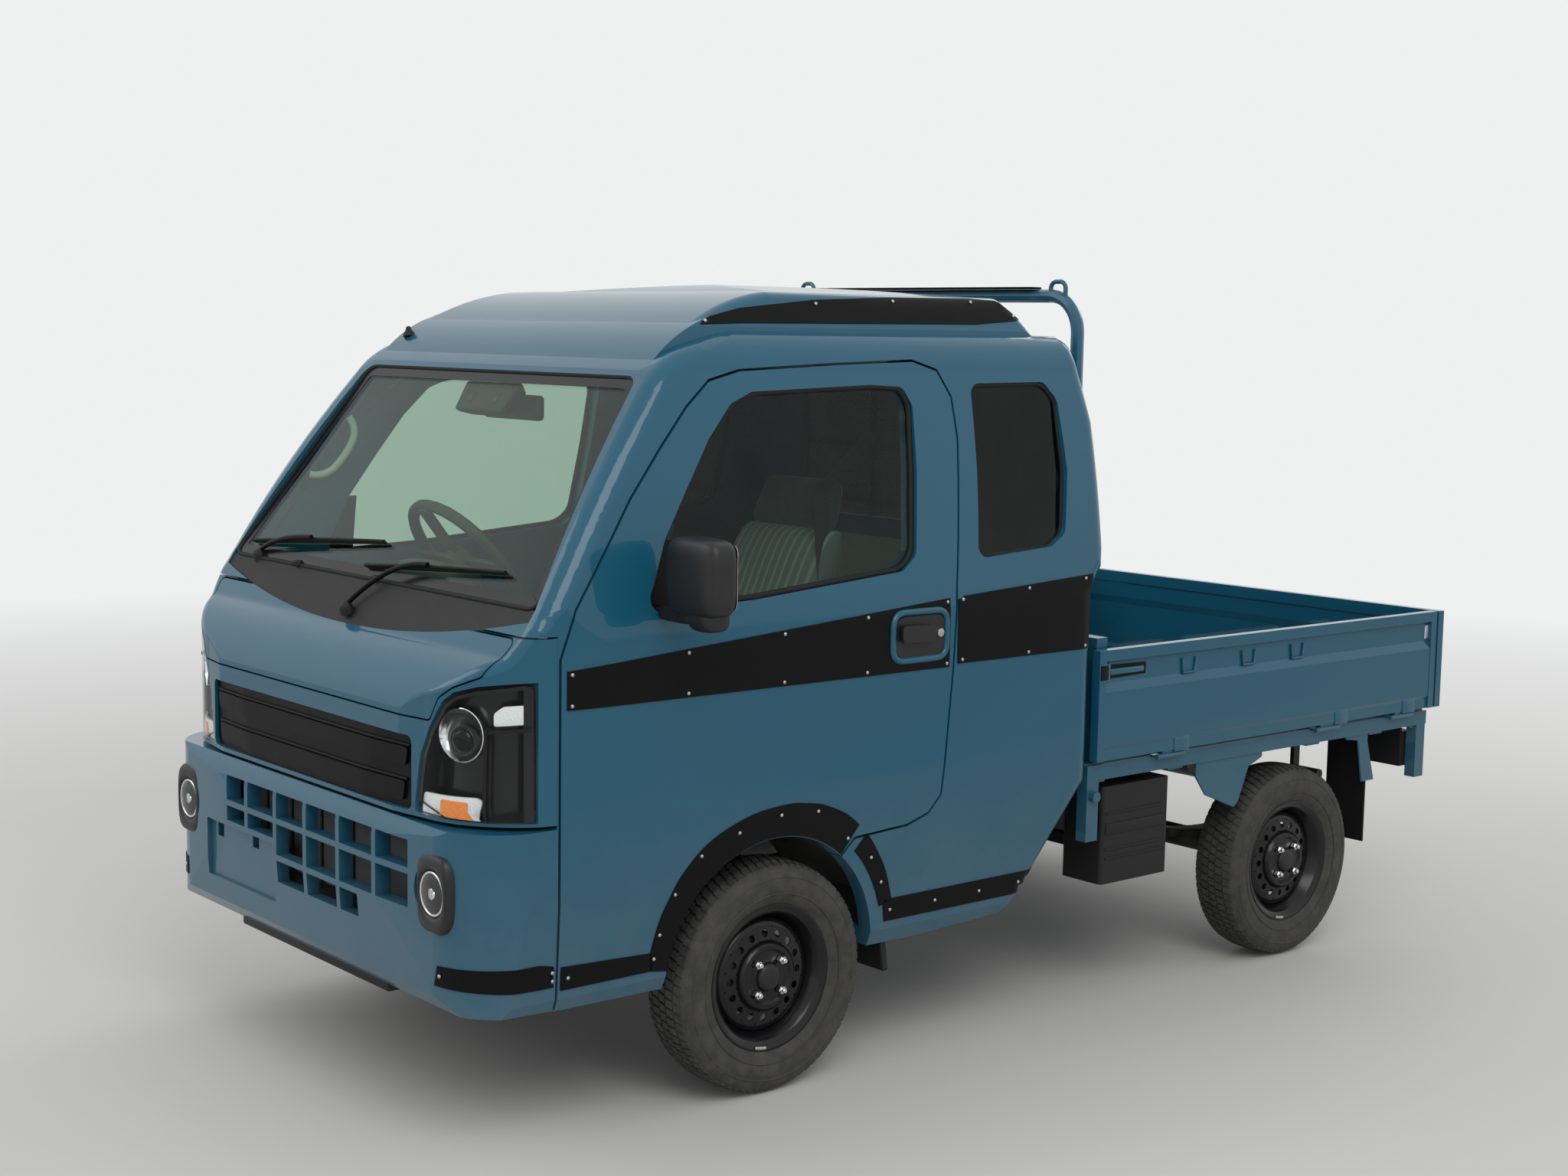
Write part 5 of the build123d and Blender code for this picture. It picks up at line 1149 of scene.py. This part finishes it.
def pad(name, corners, thick, crown, finish, seams, across, up):
    """A cushion between four corners: a crowned front, a flatter back, tucked in at its seams."""
    a, b, c, d = (Vector(corner) for corner in corners)
    out = (b - a).cross(d - a).normalized()
    shape = bmesh.new()
    layers = []
    for face in (0, 1):
        rows = []
        for j in range(up + 1):
            v = j / up
            row = []
            for i in range(across + 1):
                u = i / across
                place = a.lerp(b, u).lerp(d.lerp(c, u), v)
                edge = (1 - (2 * u - 1) ** 6) * (1 - (2 * v - 1) ** 6)
                round_off = (max(edge, 0.0)) ** 0.5
                tuck = sum(TUCK * max(0.0, 1 - abs(u - seam) / SEAM_WIDTH) ** 2 for seam in seams)
                middle = place - out * thick / 2
                if face == 0:
                    swell = thick / 2 * round_off + crown * round_off * (1 - (2 * u - 1) ** 2) - tuck
                    row.append(shape.verts.new(middle + out * swell))
                elif 0 < i < across and 0 < j < up:
                    row.append(shape.verts.new(middle - out * thick / 2 * round_off))
                else:
                    row.append(layers[0][j][i])
            rows.append(row)
        layers.append(rows)
    for rows in layers:
        join(shape, rows, around=False)
    piece = mesh_piece(name, shape, finish)
    smooth = piece.modifiers.new("smooth", "SUBSURF")
    smooth.levels = smooth.render_levels = 1
    return piece


# For the low and the high edge: half width, shift from the front axle and height. Then come the pad's
# thickness, crown, cloth and seams.
SEAT_PADS = {"cushion": ((0.225, -0.300, 0.842), (0.220, 0.120, 0.812), 0.115, 0.012, cloth, (0.16, 0.84)),
             "back": ((0.222, 0.128, 0.850), (0.175, 0.322, 1.290), 0.105, 0.010, cloth, (0.18, 0.82)),
             "head": ((0.150, 0.316, 1.275), (0.125, 0.364, 1.398), 0.085, 0.006, dark_cloth, ())}
for side, sign in SIDES.items():
    x = sign * SEAT_X
    pads = {}
    for part, (low, high, thick, crown, finish, seams) in SEAT_PADS.items():
        corners = [(x + end * half, y_of(a), b)
                   for (half, a, b), ends in ((low, (-1, 1)), (high, (1, -1))) for end in ends]
        across, up = (18, 12) if part == "head" else (26, 22)
        pads[part] = pad(f"seat_{part}_{side}", corners, thick, crown, finish, seams, across, up)
    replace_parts(pads["cushion"], "seats")
    belt = [(sign * 0.560, y_of(0.420), 1.500), (sign * 0.470, y_of(0.330), 1.360),
            (sign * 0.540, y_of(0.300), 1.000), (sign * 0.560, y_of(0.280), 0.820)]
    strap = bmesh.new()
    join(strap, [[strap.verts.new(Vector(place) + Vector((0, shift, 0))) for shift in (-0.023, 0.023)]
                 for place in belt], around=False)
    thicken(mesh_piece(f"seat_belt_{side}", strap, belt_web), 0.002, 0.0)
print("seats ready")

# %% [markdown]
# ## Door cards
# An open door shows its inner side: a moulded card over the steel, a rest for the arm and a small pull
# handle. The card is drawn on a view that looks outwards from the cab's middle.

# %% Cards, arm rests and inner handles
CARD = [(-0.430, 0.760), (-0.360, 0.690), (0.160, 0.690), (0.300, 0.740), (0.440, 0.800), (0.440, 0.985),
        (-0.400, 0.985)]
for side, sign in SIDES.items():
    VIEWS[f"inside_{side}"] = (Vector((sign, 0, 0)), lambda a, b: Vector((0, a, b)))
    door = f"door_{side}"
    patch(f"door_card_{side}", f"inside_{side}", spread(rounded(on_truck(CARD), 0.040)), door, 0.004,
          dash_grey, door, lift=2 * HAIR)
    card_face, _ = land(f"inside_{side}", y_of(0.150), 0.880, door, 0.012)
    for name, outwards, a, b, half, cuts, finish in (
            ("arm_rest", 0.000, 0.120, 0.862, (0.010, 0.150, 0.020), 10, moulded),
            ("inner_handle", 0.003, -0.170, 0.915, (0.006, 0.045, 0.012), 8, satin)):
        centre = (card_face.x + sign * outwards, y_of(a), b)
        smooth_boxes(f"{name}_{side}", [(centre, half, 4.0, cuts)], finish, door)
print("door cards at", card_face)

# %% [markdown]
# ## The bed's ironwork
# Along each gate run rope hooks and hinge straps, and its ends carry a latch in a recess and a clasp.
# They are small but many, so they are made in a loop, and ride on the gate so that they fold down with it.

# %% Hooks, straps, latches and clasps
for side, sign in SIDES.items():
    gate = f"gate_{side}"
    for number, start in enumerate((1.385, 1.635, 1.850)):
        spots = [(start, 0.897), (start + 0.004, 0.858), (start + 0.052, 0.858), (start + 0.056, 0.897)]
        line = [place + Vector((sign * 0.0035, 0, 0))
                for place in cast_line(side, on_truck(spots), gate, 0.0)]
        tube(f"rope_hook_{side}_{number}", line, 0.0042, bed_paint, gate)
    straps = []
    for start, end in ((1.330, 1.450), (2.030, 2.150), (2.355, 2.480)):
        middle = y_of((start + end) / 2)
        x = land(side, middle, 0.668, gate)[0].x
        straps.append(((x - 0.003, middle - 0.030, 0.648), (x + 0.003, middle + 0.030, 0.690)))
    blocks(f"gate_straps_{side}", straps, bed_paint, 0.002, gate)
    recess = [(1.056, 0.866), (1.240, 0.870), (1.240, 0.900), (1.056, 0.904)]
    patch(f"gate_recess_{side}", side, on_truck(recess), gate, 0.0015, satin, gate)
    latch = []
    for start, end, low, high in ((1.060, 1.100, 0.858, 0.908), (1.100, 1.230, 0.876, 0.892)):
        x = land(side, y_of((start + end) / 2), (low + high) / 2, gate)[0].x
        depth = sign * 0.006
        latch.append(((min(x - 0.002, x + depth), y_of(start), low),
                      (max(x + 0.002, x + depth), y_of(end), high)))
    blocks(f"gate_latch_{side}", latch, bed_paint, 0.003, gate)
    x = land(side, y_of(2.505), 0.882, gate)[0].x
    blocks(f"gate_clasp_{side}", [((x - 0.003, y_of(2.492), 0.862), (x + 0.003, y_of(2.530), 0.904))], zinc,
           0.003, gate)
print("gates dressed", len(made_pieces))

# %% [markdown]
# ## The plate on the guard frame
# The guard frame's top bar carries a flat black plate, which keeps ropes off the paint.

# %% Guard plate
guard_low, guard_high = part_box("guard_frame")
guard_middle = (guard_low[1] + guard_high[1]) / 2
blocks("guard_plate", [((-0.430, guard_middle - 0.030, 1.8595), (0.430, guard_middle + 0.012, 1.8655))],
       satin, 0.002)
print("guard plate at", guard_middle)

# %% [markdown]
# ## Round the wheels, and the battery box
# Behind the front doors a curved liner closes the space over the wheel, and a rubber guard hangs behind
# the tyre. Cut plates hold the bed's rear fenders. All are flat or bent sheets, so each is drawn as an
# outline or an arc. The battery box has plain raised bands across its cover.

# %% Fender stays, wheel houses, mud guards and the battery box's bands
HOUSE_REACH, HOUSE_HEIGHT = 0.318, 0.285
STAYS = [
    [(1.487, 0.560), (1.530, 0.505), (1.653, 0.456), (1.672, 0.470), (1.712, 0.563), (1.770, 0.585),
     (1.770, 0.606), (1.487, 0.606)],
    [(2.155, 0.606), (2.155, 0.591), (2.215, 0.582), (2.240, 0.457), (2.300, 0.457), (2.262, 0.575),
     (2.262, 0.606)],
]
MUD_GUARD = [(0.300, 0.560), (0.318, 0.560), (0.352, 0.440), (0.372, 0.300), (0.384, 0.215), (0.366, 0.215),
             (0.352, 0.300), (0.334, 0.440)]


def plate(name, outline, near, far, finish):
    """A flat plate drawn in Y and Z, between two places across the truck."""
    shape = bmesh.new()
    ends = [[shape.verts.new((x, a, b)) for a, b in outline] for x in (near, far)]
    shape.faces.new(ends[0])
    shape.faces.new(ends[1][::-1])
    join(shape, ends)
    return mesh_piece(name, shape, finish, smooth=False)


for side, sign in SIDES.items():
    for number, outline in enumerate(STAYS):
        stay = plate(f"fender_stay_{side}_{number}", on_truck(outline), sign * 0.700, sign * 0.706, paint)
        soften(stay, 0.002)
    liner = bmesh.new()
    arcs = [[liner.verts.new((sign * across, y_of(HOUSE_REACH * cos(radians(angle))),
                              HOUSE_HEIGHT + HOUSE_REACH * sin(radians(angle))))
             for across in (0.420, 0.672)]
            for angle in range(28, 167, 6)]
    join(liner, arcs, around=False)
    thicken(mesh_piece(f"wheel_house_{side}", liner, chassis_black), 0.002, 0.0)
    guard = plate(f"mud_guard_{side}", on_truck(MUD_GUARD), sign * 0.480, sign * 0.690, moulded)
    soften(guard, 0.004)
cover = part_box("battery_box")[1][0]
ribs = ((0.380, 0.386), (0.404, 0.410), (0.446, 0.476), (0.500, 0.506))
blocks("battery_box_ribs", [((cover - 0.002, y_of(1.135), low), (cover + 0.003, y_of(1.365), high))
                            for low, high in ribs], moulded, 0.002)
print("battery box cover at", cover)

# %% [markdown]
# ## Tail lamps
# Each tail lamp is one black housing with an amber, a clear and a red window. The windows are patches
# on the back of the CAD housing.

# %% Tail lamps
for side, sign in SIDES.items():
    parts = ((0.510, 0.556, amber, "amber"), (0.560, 0.604, pearl, "clear"), (0.608, 0.660, red, "red"))
    for start, end, finish, word in parts:
        outline = [(sign * start, 0.484), (sign * end, 0.484), (sign * end, 0.562), (sign * start, 0.562)]
        patch(f"tail_{word}_{side}", "back", rounded(outline, 0.008), "tail_lamps", 0.003, finish)
print("tail lamps ready", len(made_pieces))

# %% [markdown]
# ## Wheels
# Black steel wheels: a rim with a deep barrel, and a pressed disc with sixteen round holes and a raised
# hub. One sector of the disc is a ring of quads between a round hole and the sector's own edge, and
# sixteen of them join up. The CAD wheel stays in the physics, and this piece stands for it.

# %% Rims and discs
RIM = [(-0.0570, 0.1700), (-0.0560, 0.1725), (-0.0540, 0.1690), (-0.0480, 0.1560), (-0.0440, 0.1530),
       (-0.0260, 0.1510), (-0.0180, 0.1370), (0.0120, 0.1370), (0.0200, 0.1500), (0.0440, 0.1530),
       (0.0480, 0.1560), (0.0540, 0.1690), (0.0560, 0.1720), (0.0575, 0.1710), (0.0560, 0.1660),
       (0.0520, 0.1560), (0.0470, 0.1480), (0.0240, 0.1455), (0.0150, 0.1320), (-0.0200, 0.1320),
       (-0.0300, 0.1460), (-0.0460, 0.1490), (-0.0520, 0.1560), (-0.0560, 0.1660)]
DISC_OUT = [(0.0040, 0.1335), (0.0180, 0.1310), (0.0250, 0.1240), (0.0275, 0.1160)]
DISC_IN = [(0.0330, 0.0820), (0.0430, 0.0790), (0.0475, 0.0740), (0.0480, 0.0660), (0.0430, 0.0610),
           (0.0420, 0.0380), (0.0440, 0.0340)]
HOLES, HOLE_CIRCLE, HOLE_RADIUS, HOLE_POINTS = 16, 0.0985, 0.0088, 24
WHEEL_TURNS, TINY = 96, 1e-6
DRUM = [(-0.036, 0.030), (-0.036, 0.096), (0.014, 0.098), (0.019, 0.094), (0.020, 0.060)]
HUB_CAP = [(0.034, 0.0340), (0.048, 0.0330), (0.055, 0.0300), (0.058, 0.0240), (0.0585, 0.0120),
           (0.0585, 0.0010)]
NUTS, NUT_SEAT, NUT_CIRCLE = 4, 0.046, 0.050
NUT = [(0.0, 0.0105), (0.011, 0.0105), (0.0135, 0.0088)]
STUD = [(0.010, 0.0060), (0.020, 0.0060), (0.0215, 0.0045)]


def wheel_point(centre, sign, height, radius, turn):
    """A point of a wheel: how far out of its middle plane, how far from its axle, and where round."""
    return Vector((centre.x + sign * height, centre.y + radius * cos(turn), centre.z + radius * sin(turn)))


def ring_faces(shape, centre, sign, rows, closed=False):
    """Joins rows of a wheel's profile into a skin."""
    rings = [[shape.verts.new(wheel_point(centre, sign, height, radius, tau * k / WHEEL_TURNS))
              for k in range(WHEEL_TURNS)] for height, radius in rows]
    join(shape, rings + rings[:1] if closed else rings)


def disc_height(radius):
    """The height of the holed band between the disc's inner and outer parts."""
    share = (radius - DISC_IN[0][1]) / (DISC_OUT[-1][1] - DISC_IN[0][1])
    return DISC_IN[0][0] + (DISC_OUT[-1][0] - DISC_IN[0][0]) * share


def holed_band(shape, centre, sign):
    """The band of the disc with its ring of holes."""
    half_turn, low, high = pi / HOLES, DISC_IN[0][1], DISC_OUT[-1][1]
    for sector in range(HOLES):
        middle = tau * sector / HOLES
        inner, outer = [], []
        for k in range(HOLE_POINTS):
            turn = tau * k / HOLE_POINTS
            across, along_r = cos(turn), sin(turn)
            wall = high - HOLE_CIRCLE if along_r > 0 else HOLE_CIRCLE - low
            stretch = min(half_turn * HOLE_CIRCLE / max(abs(across), TINY), wall / max(abs(along_r), TINY))
            for ring, reach in ((inner, HOLE_RADIUS), (outer, stretch)):
                radius = HOLE_CIRCLE + reach * along_r
                angle = middle + reach * across / HOLE_CIRCLE
                ring.append(shape.verts.new(wheel_point(centre, sign, disc_height(radius), radius, angle)))
        join(shape, [inner, outer])


def disc_piece(name, centre, sign, body):
    """The pressed disc of one wheel, with its thickness."""
    shape = bmesh.new()
    ring_faces(shape, centre, sign, DISC_OUT)
    holed_band(shape, centre, sign)
    ring_faces(shape, centre, sign, DISC_IN)
    bmesh.ops.remove_doubles(shape, verts=shape.verts, dist=0.0002)
    return thicken(mesh_piece(name, shape, gloss_black, body), 0.0032, 0.0)


def nut_shape(shape, centre, sign, turn):
    """A hexagon nut with a chamfered top and its stud."""
    seat = wheel_point(centre, sign, NUT_SEAT, NUT_CIRCLE, turn)
    for rows, sides in ((NUT, 6), (STUD, 12)):
        rings = [[shape.verts.new(seat + Vector((sign * height, radius * cos(tau * k / sides),
                                                 radius * sin(tau * k / sides))))
                  for k in range(sides)] for height, radius in rows]
        join(shape, rings)
        shape.faces.new(rings[-1])


WHEELS = {}
for corner in CORNERS:
    low, high = (Vector(place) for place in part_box(f"tyre_{corner}"))
    centre, body = (low + high) / 2, f"wheel_{corner}"
    sign = 1.0 if centre.x > 0 else -1.0
    WHEELS[corner] = centre, sign, body
    rim = bmesh.new()
    ring_faces(rim, centre, sign, RIM, closed=True)
    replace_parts(mesh_piece(f"rim_{corner}", rim, gloss_black, body), body)
    disc_piece(f"disc_{corner}", centre, sign, body)
    lathe(f"drum_{corner}", centre, (sign, 0, 0), DRUM, chassis_black, body, turns=64)
    lathe(f"hub_cap_{corner}", centre, (sign, 0, 0), HUB_CAP, mirror_shell, body)
    nuts = bmesh.new()
    for number in range(NUTS):
        nut_shape(nuts, centre, sign, tau * (number + 0.5) / NUTS)
    mesh_piece(f"nuts_{corner}", nuts, bright, body, smooth=False)
    weight = bmesh.new()
    for step in range(5):
        add_dome(weight, wheel_point(centre, sign, 0.0570, 0.1640, radians(-104 + step * 2.2)),
                 Vector((sign, 0, 0)), 0.0045, 0.0025)
    mesh_piece(f"weight_{corner}", weight, zinc, body)
print("wheels ready")

# %% [markdown]
# ## Tyres
# A tyre's sidewall bulges a little past the rim and its shoulders are round. The carcass is a turned
# skin, and the tread is five rows of blocks with grooves between them, offset from row to row.

# %% Carcass and tread
CARCASS = [(0.0540, 0.1700), (0.0600, 0.1760), (0.0670, 0.1900), (0.0712, 0.2080), (0.0722, 0.2240),
           (0.0705, 0.2400), (0.0660, 0.2530), (0.0600, 0.2600), (0.0500, 0.2635), (0.0250, 0.2650)]
SIDE_RINGS = [(0.0700, 0.196), (0.0712, 0.234)]
TREAD_TOP, TREAD_FLOOR, BLOCKS = 0.2702, 0.2630, 76
BLOCK_SHARE, BLOCK_SKEW, SLOPE_ACROSS, SLOPE_ROUND = 0.80, 0.018, 0.07, 0.10
CROWN_DROP, SHOULDER = 0.0075, 0.0600
ROWS = [(-0.0600, -0.0390, 0.2), (-0.0355, -0.0130, 0.6), (-0.0095, 0.0095, 0.0), (0.0130, 0.0355, 0.4),
        (0.0390, 0.0600, 0.8)]


def crowned(height, radius):
    """The tread's slight crown: lower towards the shoulders."""
    return radius - CROWN_DROP * (abs(height) / SHOULDER) ** 3.0


def tread_block(shape, centre, sign, low, high, start, end):
    """One block of tread: its top and four sloping walls."""
    corners = ((low, start), (high, start + BLOCK_SKEW), (high, end + BLOCK_SKEW), (low, end))
    middle_height, middle_turn = (low + high) / 2, (start + end + BLOCK_SKEW) / 2
    base, top = [], []
    for height, turn in corners:
        base.append(shape.verts.new(wheel_point(centre, sign, height, crowned(height, TREAD_FLOOR), turn)))
        height += (middle_height - height) * SLOPE_ACROSS
        turn += (middle_turn - turn) * SLOPE_ROUND
        top.append(shape.verts.new(wheel_point(centre, sign, height, crowned(height, TREAD_TOP), turn)))
    shape.faces.new(top)
    join(shape, [base, top])


mirrored = CARCASS + [(-height, radius) for height, radius in reversed(CARCASS)]
carcass_faces = (len(mirrored) - 1) * WHEEL_TURNS
for corner, (centre, sign, body) in WHEELS.items():
    skin = bmesh.new()
    ring_faces(skin, centre, sign, mirrored)
    for height, radius in SIDE_RINGS:
        ring_faces(skin, centre, sign, [(height, radius), (height + 0.0014, radius + 0.002),
                                        (height, radius + 0.004)])
    for first, last, offset in ROWS:
        for number in range(BLOCKS):
            start = tau * (number + offset) / BLOCKS
            tread_block(skin, centre, sign, first, last, start, start + tau * BLOCK_SHARE / BLOCKS)
    tyre = mesh_piece(f"tyre_rubber_{corner}", skin, rubber, body)
    tyre.data.polygons.foreach_set("use_smooth", [face.index < carcass_faces
                                                  for face in tyre.data.polygons])
    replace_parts(tyre, f"tyre_{corner}")
print("tyres ready", len(made_pieces))

# %% [markdown]
# ## The studio
# A plain pale floor runs off into a pale background. The background is a colour that only the camera,
# reflections and the view through glass see, so it doesn't overexpose the truck.

# %% Floor
BACKDROP = (0.86, 0.87, 0.87, 1.0)
floor_mesh = bmesh.new()
bmesh.ops.create_grid(floor_mesh, x_segments=4, y_segments=4, size=40.0)
for vertex in floor_mesh.verts:
    vertex.co.z = -0.0005
floor_data = bpy.data.meshes.new("studio_floor")
floor_mesh.to_mesh(floor_data)
floor_mesh.free()
studio_floor = in_scene("studio_floor", floor_data)
concrete = Finish("floor_concrete", (0.56, 0.55, 0.53), 0.8)
concrete.vary(0.8, 0.04, 0.1)
far_away = concrete.node("ShaderNodeVectorMath", {"operation": "LENGTH"}, {0: concrete.place()},
                         output="Value")
seen_by_camera = concrete.node("ShaderNodeLightPath", output="Is Camera Ray")
glow = concrete.node("ShaderNodeEmission", {}, {"Color": BACKDROP, "Strength": 1.0})
plain_floor = Signal(concrete, concrete.shader.outputs[0])
faded = concrete.node("ShaderNodeMixShader", {}, {
    0: concrete.steps(far_away, 3.2, 9.0) * seen_by_camera, 1: plain_floor, 2: glow})
concrete.show(faded)
studio_floor.data.materials.append(concrete.material)
print("floor ready, fading into", BACKDROP)

# %% [markdown]
# ## Background and lamps
# The world lights the truck with a plain sky. The camera, glossy reflections and the view through glass
# see the backdrop's colour instead, at a strength of 1, so it is pale but adds no light. Three large
# soft lamps stand high, at the front left, the front right and the back.

# %% World and lamps
world = bpy.data.worlds.new("studio_world")
bpy.context.scene.world = world
world.use_nodes = True
world.node_tree.nodes.clear()
sky = Nodes(world.node_tree)
camera_ray, glossy_ray, through_glass = [sky.node("ShaderNodeLightPath", output=f"Is {kind} Ray")
                                         for kind in ("Camera", "Glossy", "Transmission")]
seen = sky.math("MAXIMUM", sky.math("MAXIMUM", camera_ray, through_glass), glossy_ray)
plain = sky.node("ShaderNodeBackground", {}, {"Color": (0.93, 0.95, 0.97, 1.0), "Strength": 0.78})
backdrop = sky.node("ShaderNodeBackground", {}, {"Color": BACKDROP, "Strength": 1.0})
either = sky.node("ShaderNodeMixShader", {}, {0: seen, 1: plain, 2: backdrop})
sky.feed(sky.tree.nodes.new("ShaderNodeOutputWorld").inputs["Surface"], either)


def soft_lamp(name, place, target, size, power):
    """A large square lamp that looks at a point."""
    data = bpy.data.lights.new(name, "AREA")
    data.size = size
    data.energy = power
    lamp = in_scene(name, data)
    lamp.location = place
    lamp.rotation_euler = (Vector(target) - Vector(place)).to_track_quat("-Z", "Y").to_euler()


soft_lamp("key_lamp", (5.5, -3.0, 6.0), (0, 0, 0.6), 4.5, 200)
soft_lamp("front_lamp", (-3.5, -6.0, 4.5), (0, -1.0, 0.8), 4.0, 90)
soft_lamp("back_lamp", (-2.0, 6.0, 5.0), (0, 0, 0.8), 4.0, 90)
print("studio ready")

# %% [markdown]
# ## The camera
# The camera stands where the photograph was taken from. Its place, its lens and its slight roll were
# fitted to the wheels, the ground and pairs of like points on both sides of the truck.

# %% Camera, as the photograph was taken
camera_data = bpy.data.cameras.new("camera")
camera_data.sensor_width = 36.0
camera_data.lens = 50.617
camera = in_scene("camera", camera_data)
AZIMUTH, ELEVATION, ROLL = radians(50.0355), radians(6.6805), radians(0.946)
behind = Vector((sin(AZIMUTH) * cos(ELEVATION), -cos(AZIMUTH) * cos(ELEVATION), sin(ELEVATION)))
level = (-behind).cross(Vector((0, 0, 1))).normalized()
upward = level.cross(-behind)
right = level * cos(ROLL) + upward * sin(ROLL)
up = upward * cos(ROLL) - level * sin(ROLL)
turned = Matrix((right, up, behind)).transposed().to_4x4()
camera.matrix_world = Matrix.Translation((4.4795, -4.0121, 1.7435)) @ turned
bpy.context.scene.camera = camera
bpy.context.scene.view_settings.view_transform = "Standard"
print("camera at", tuple(camera.location))
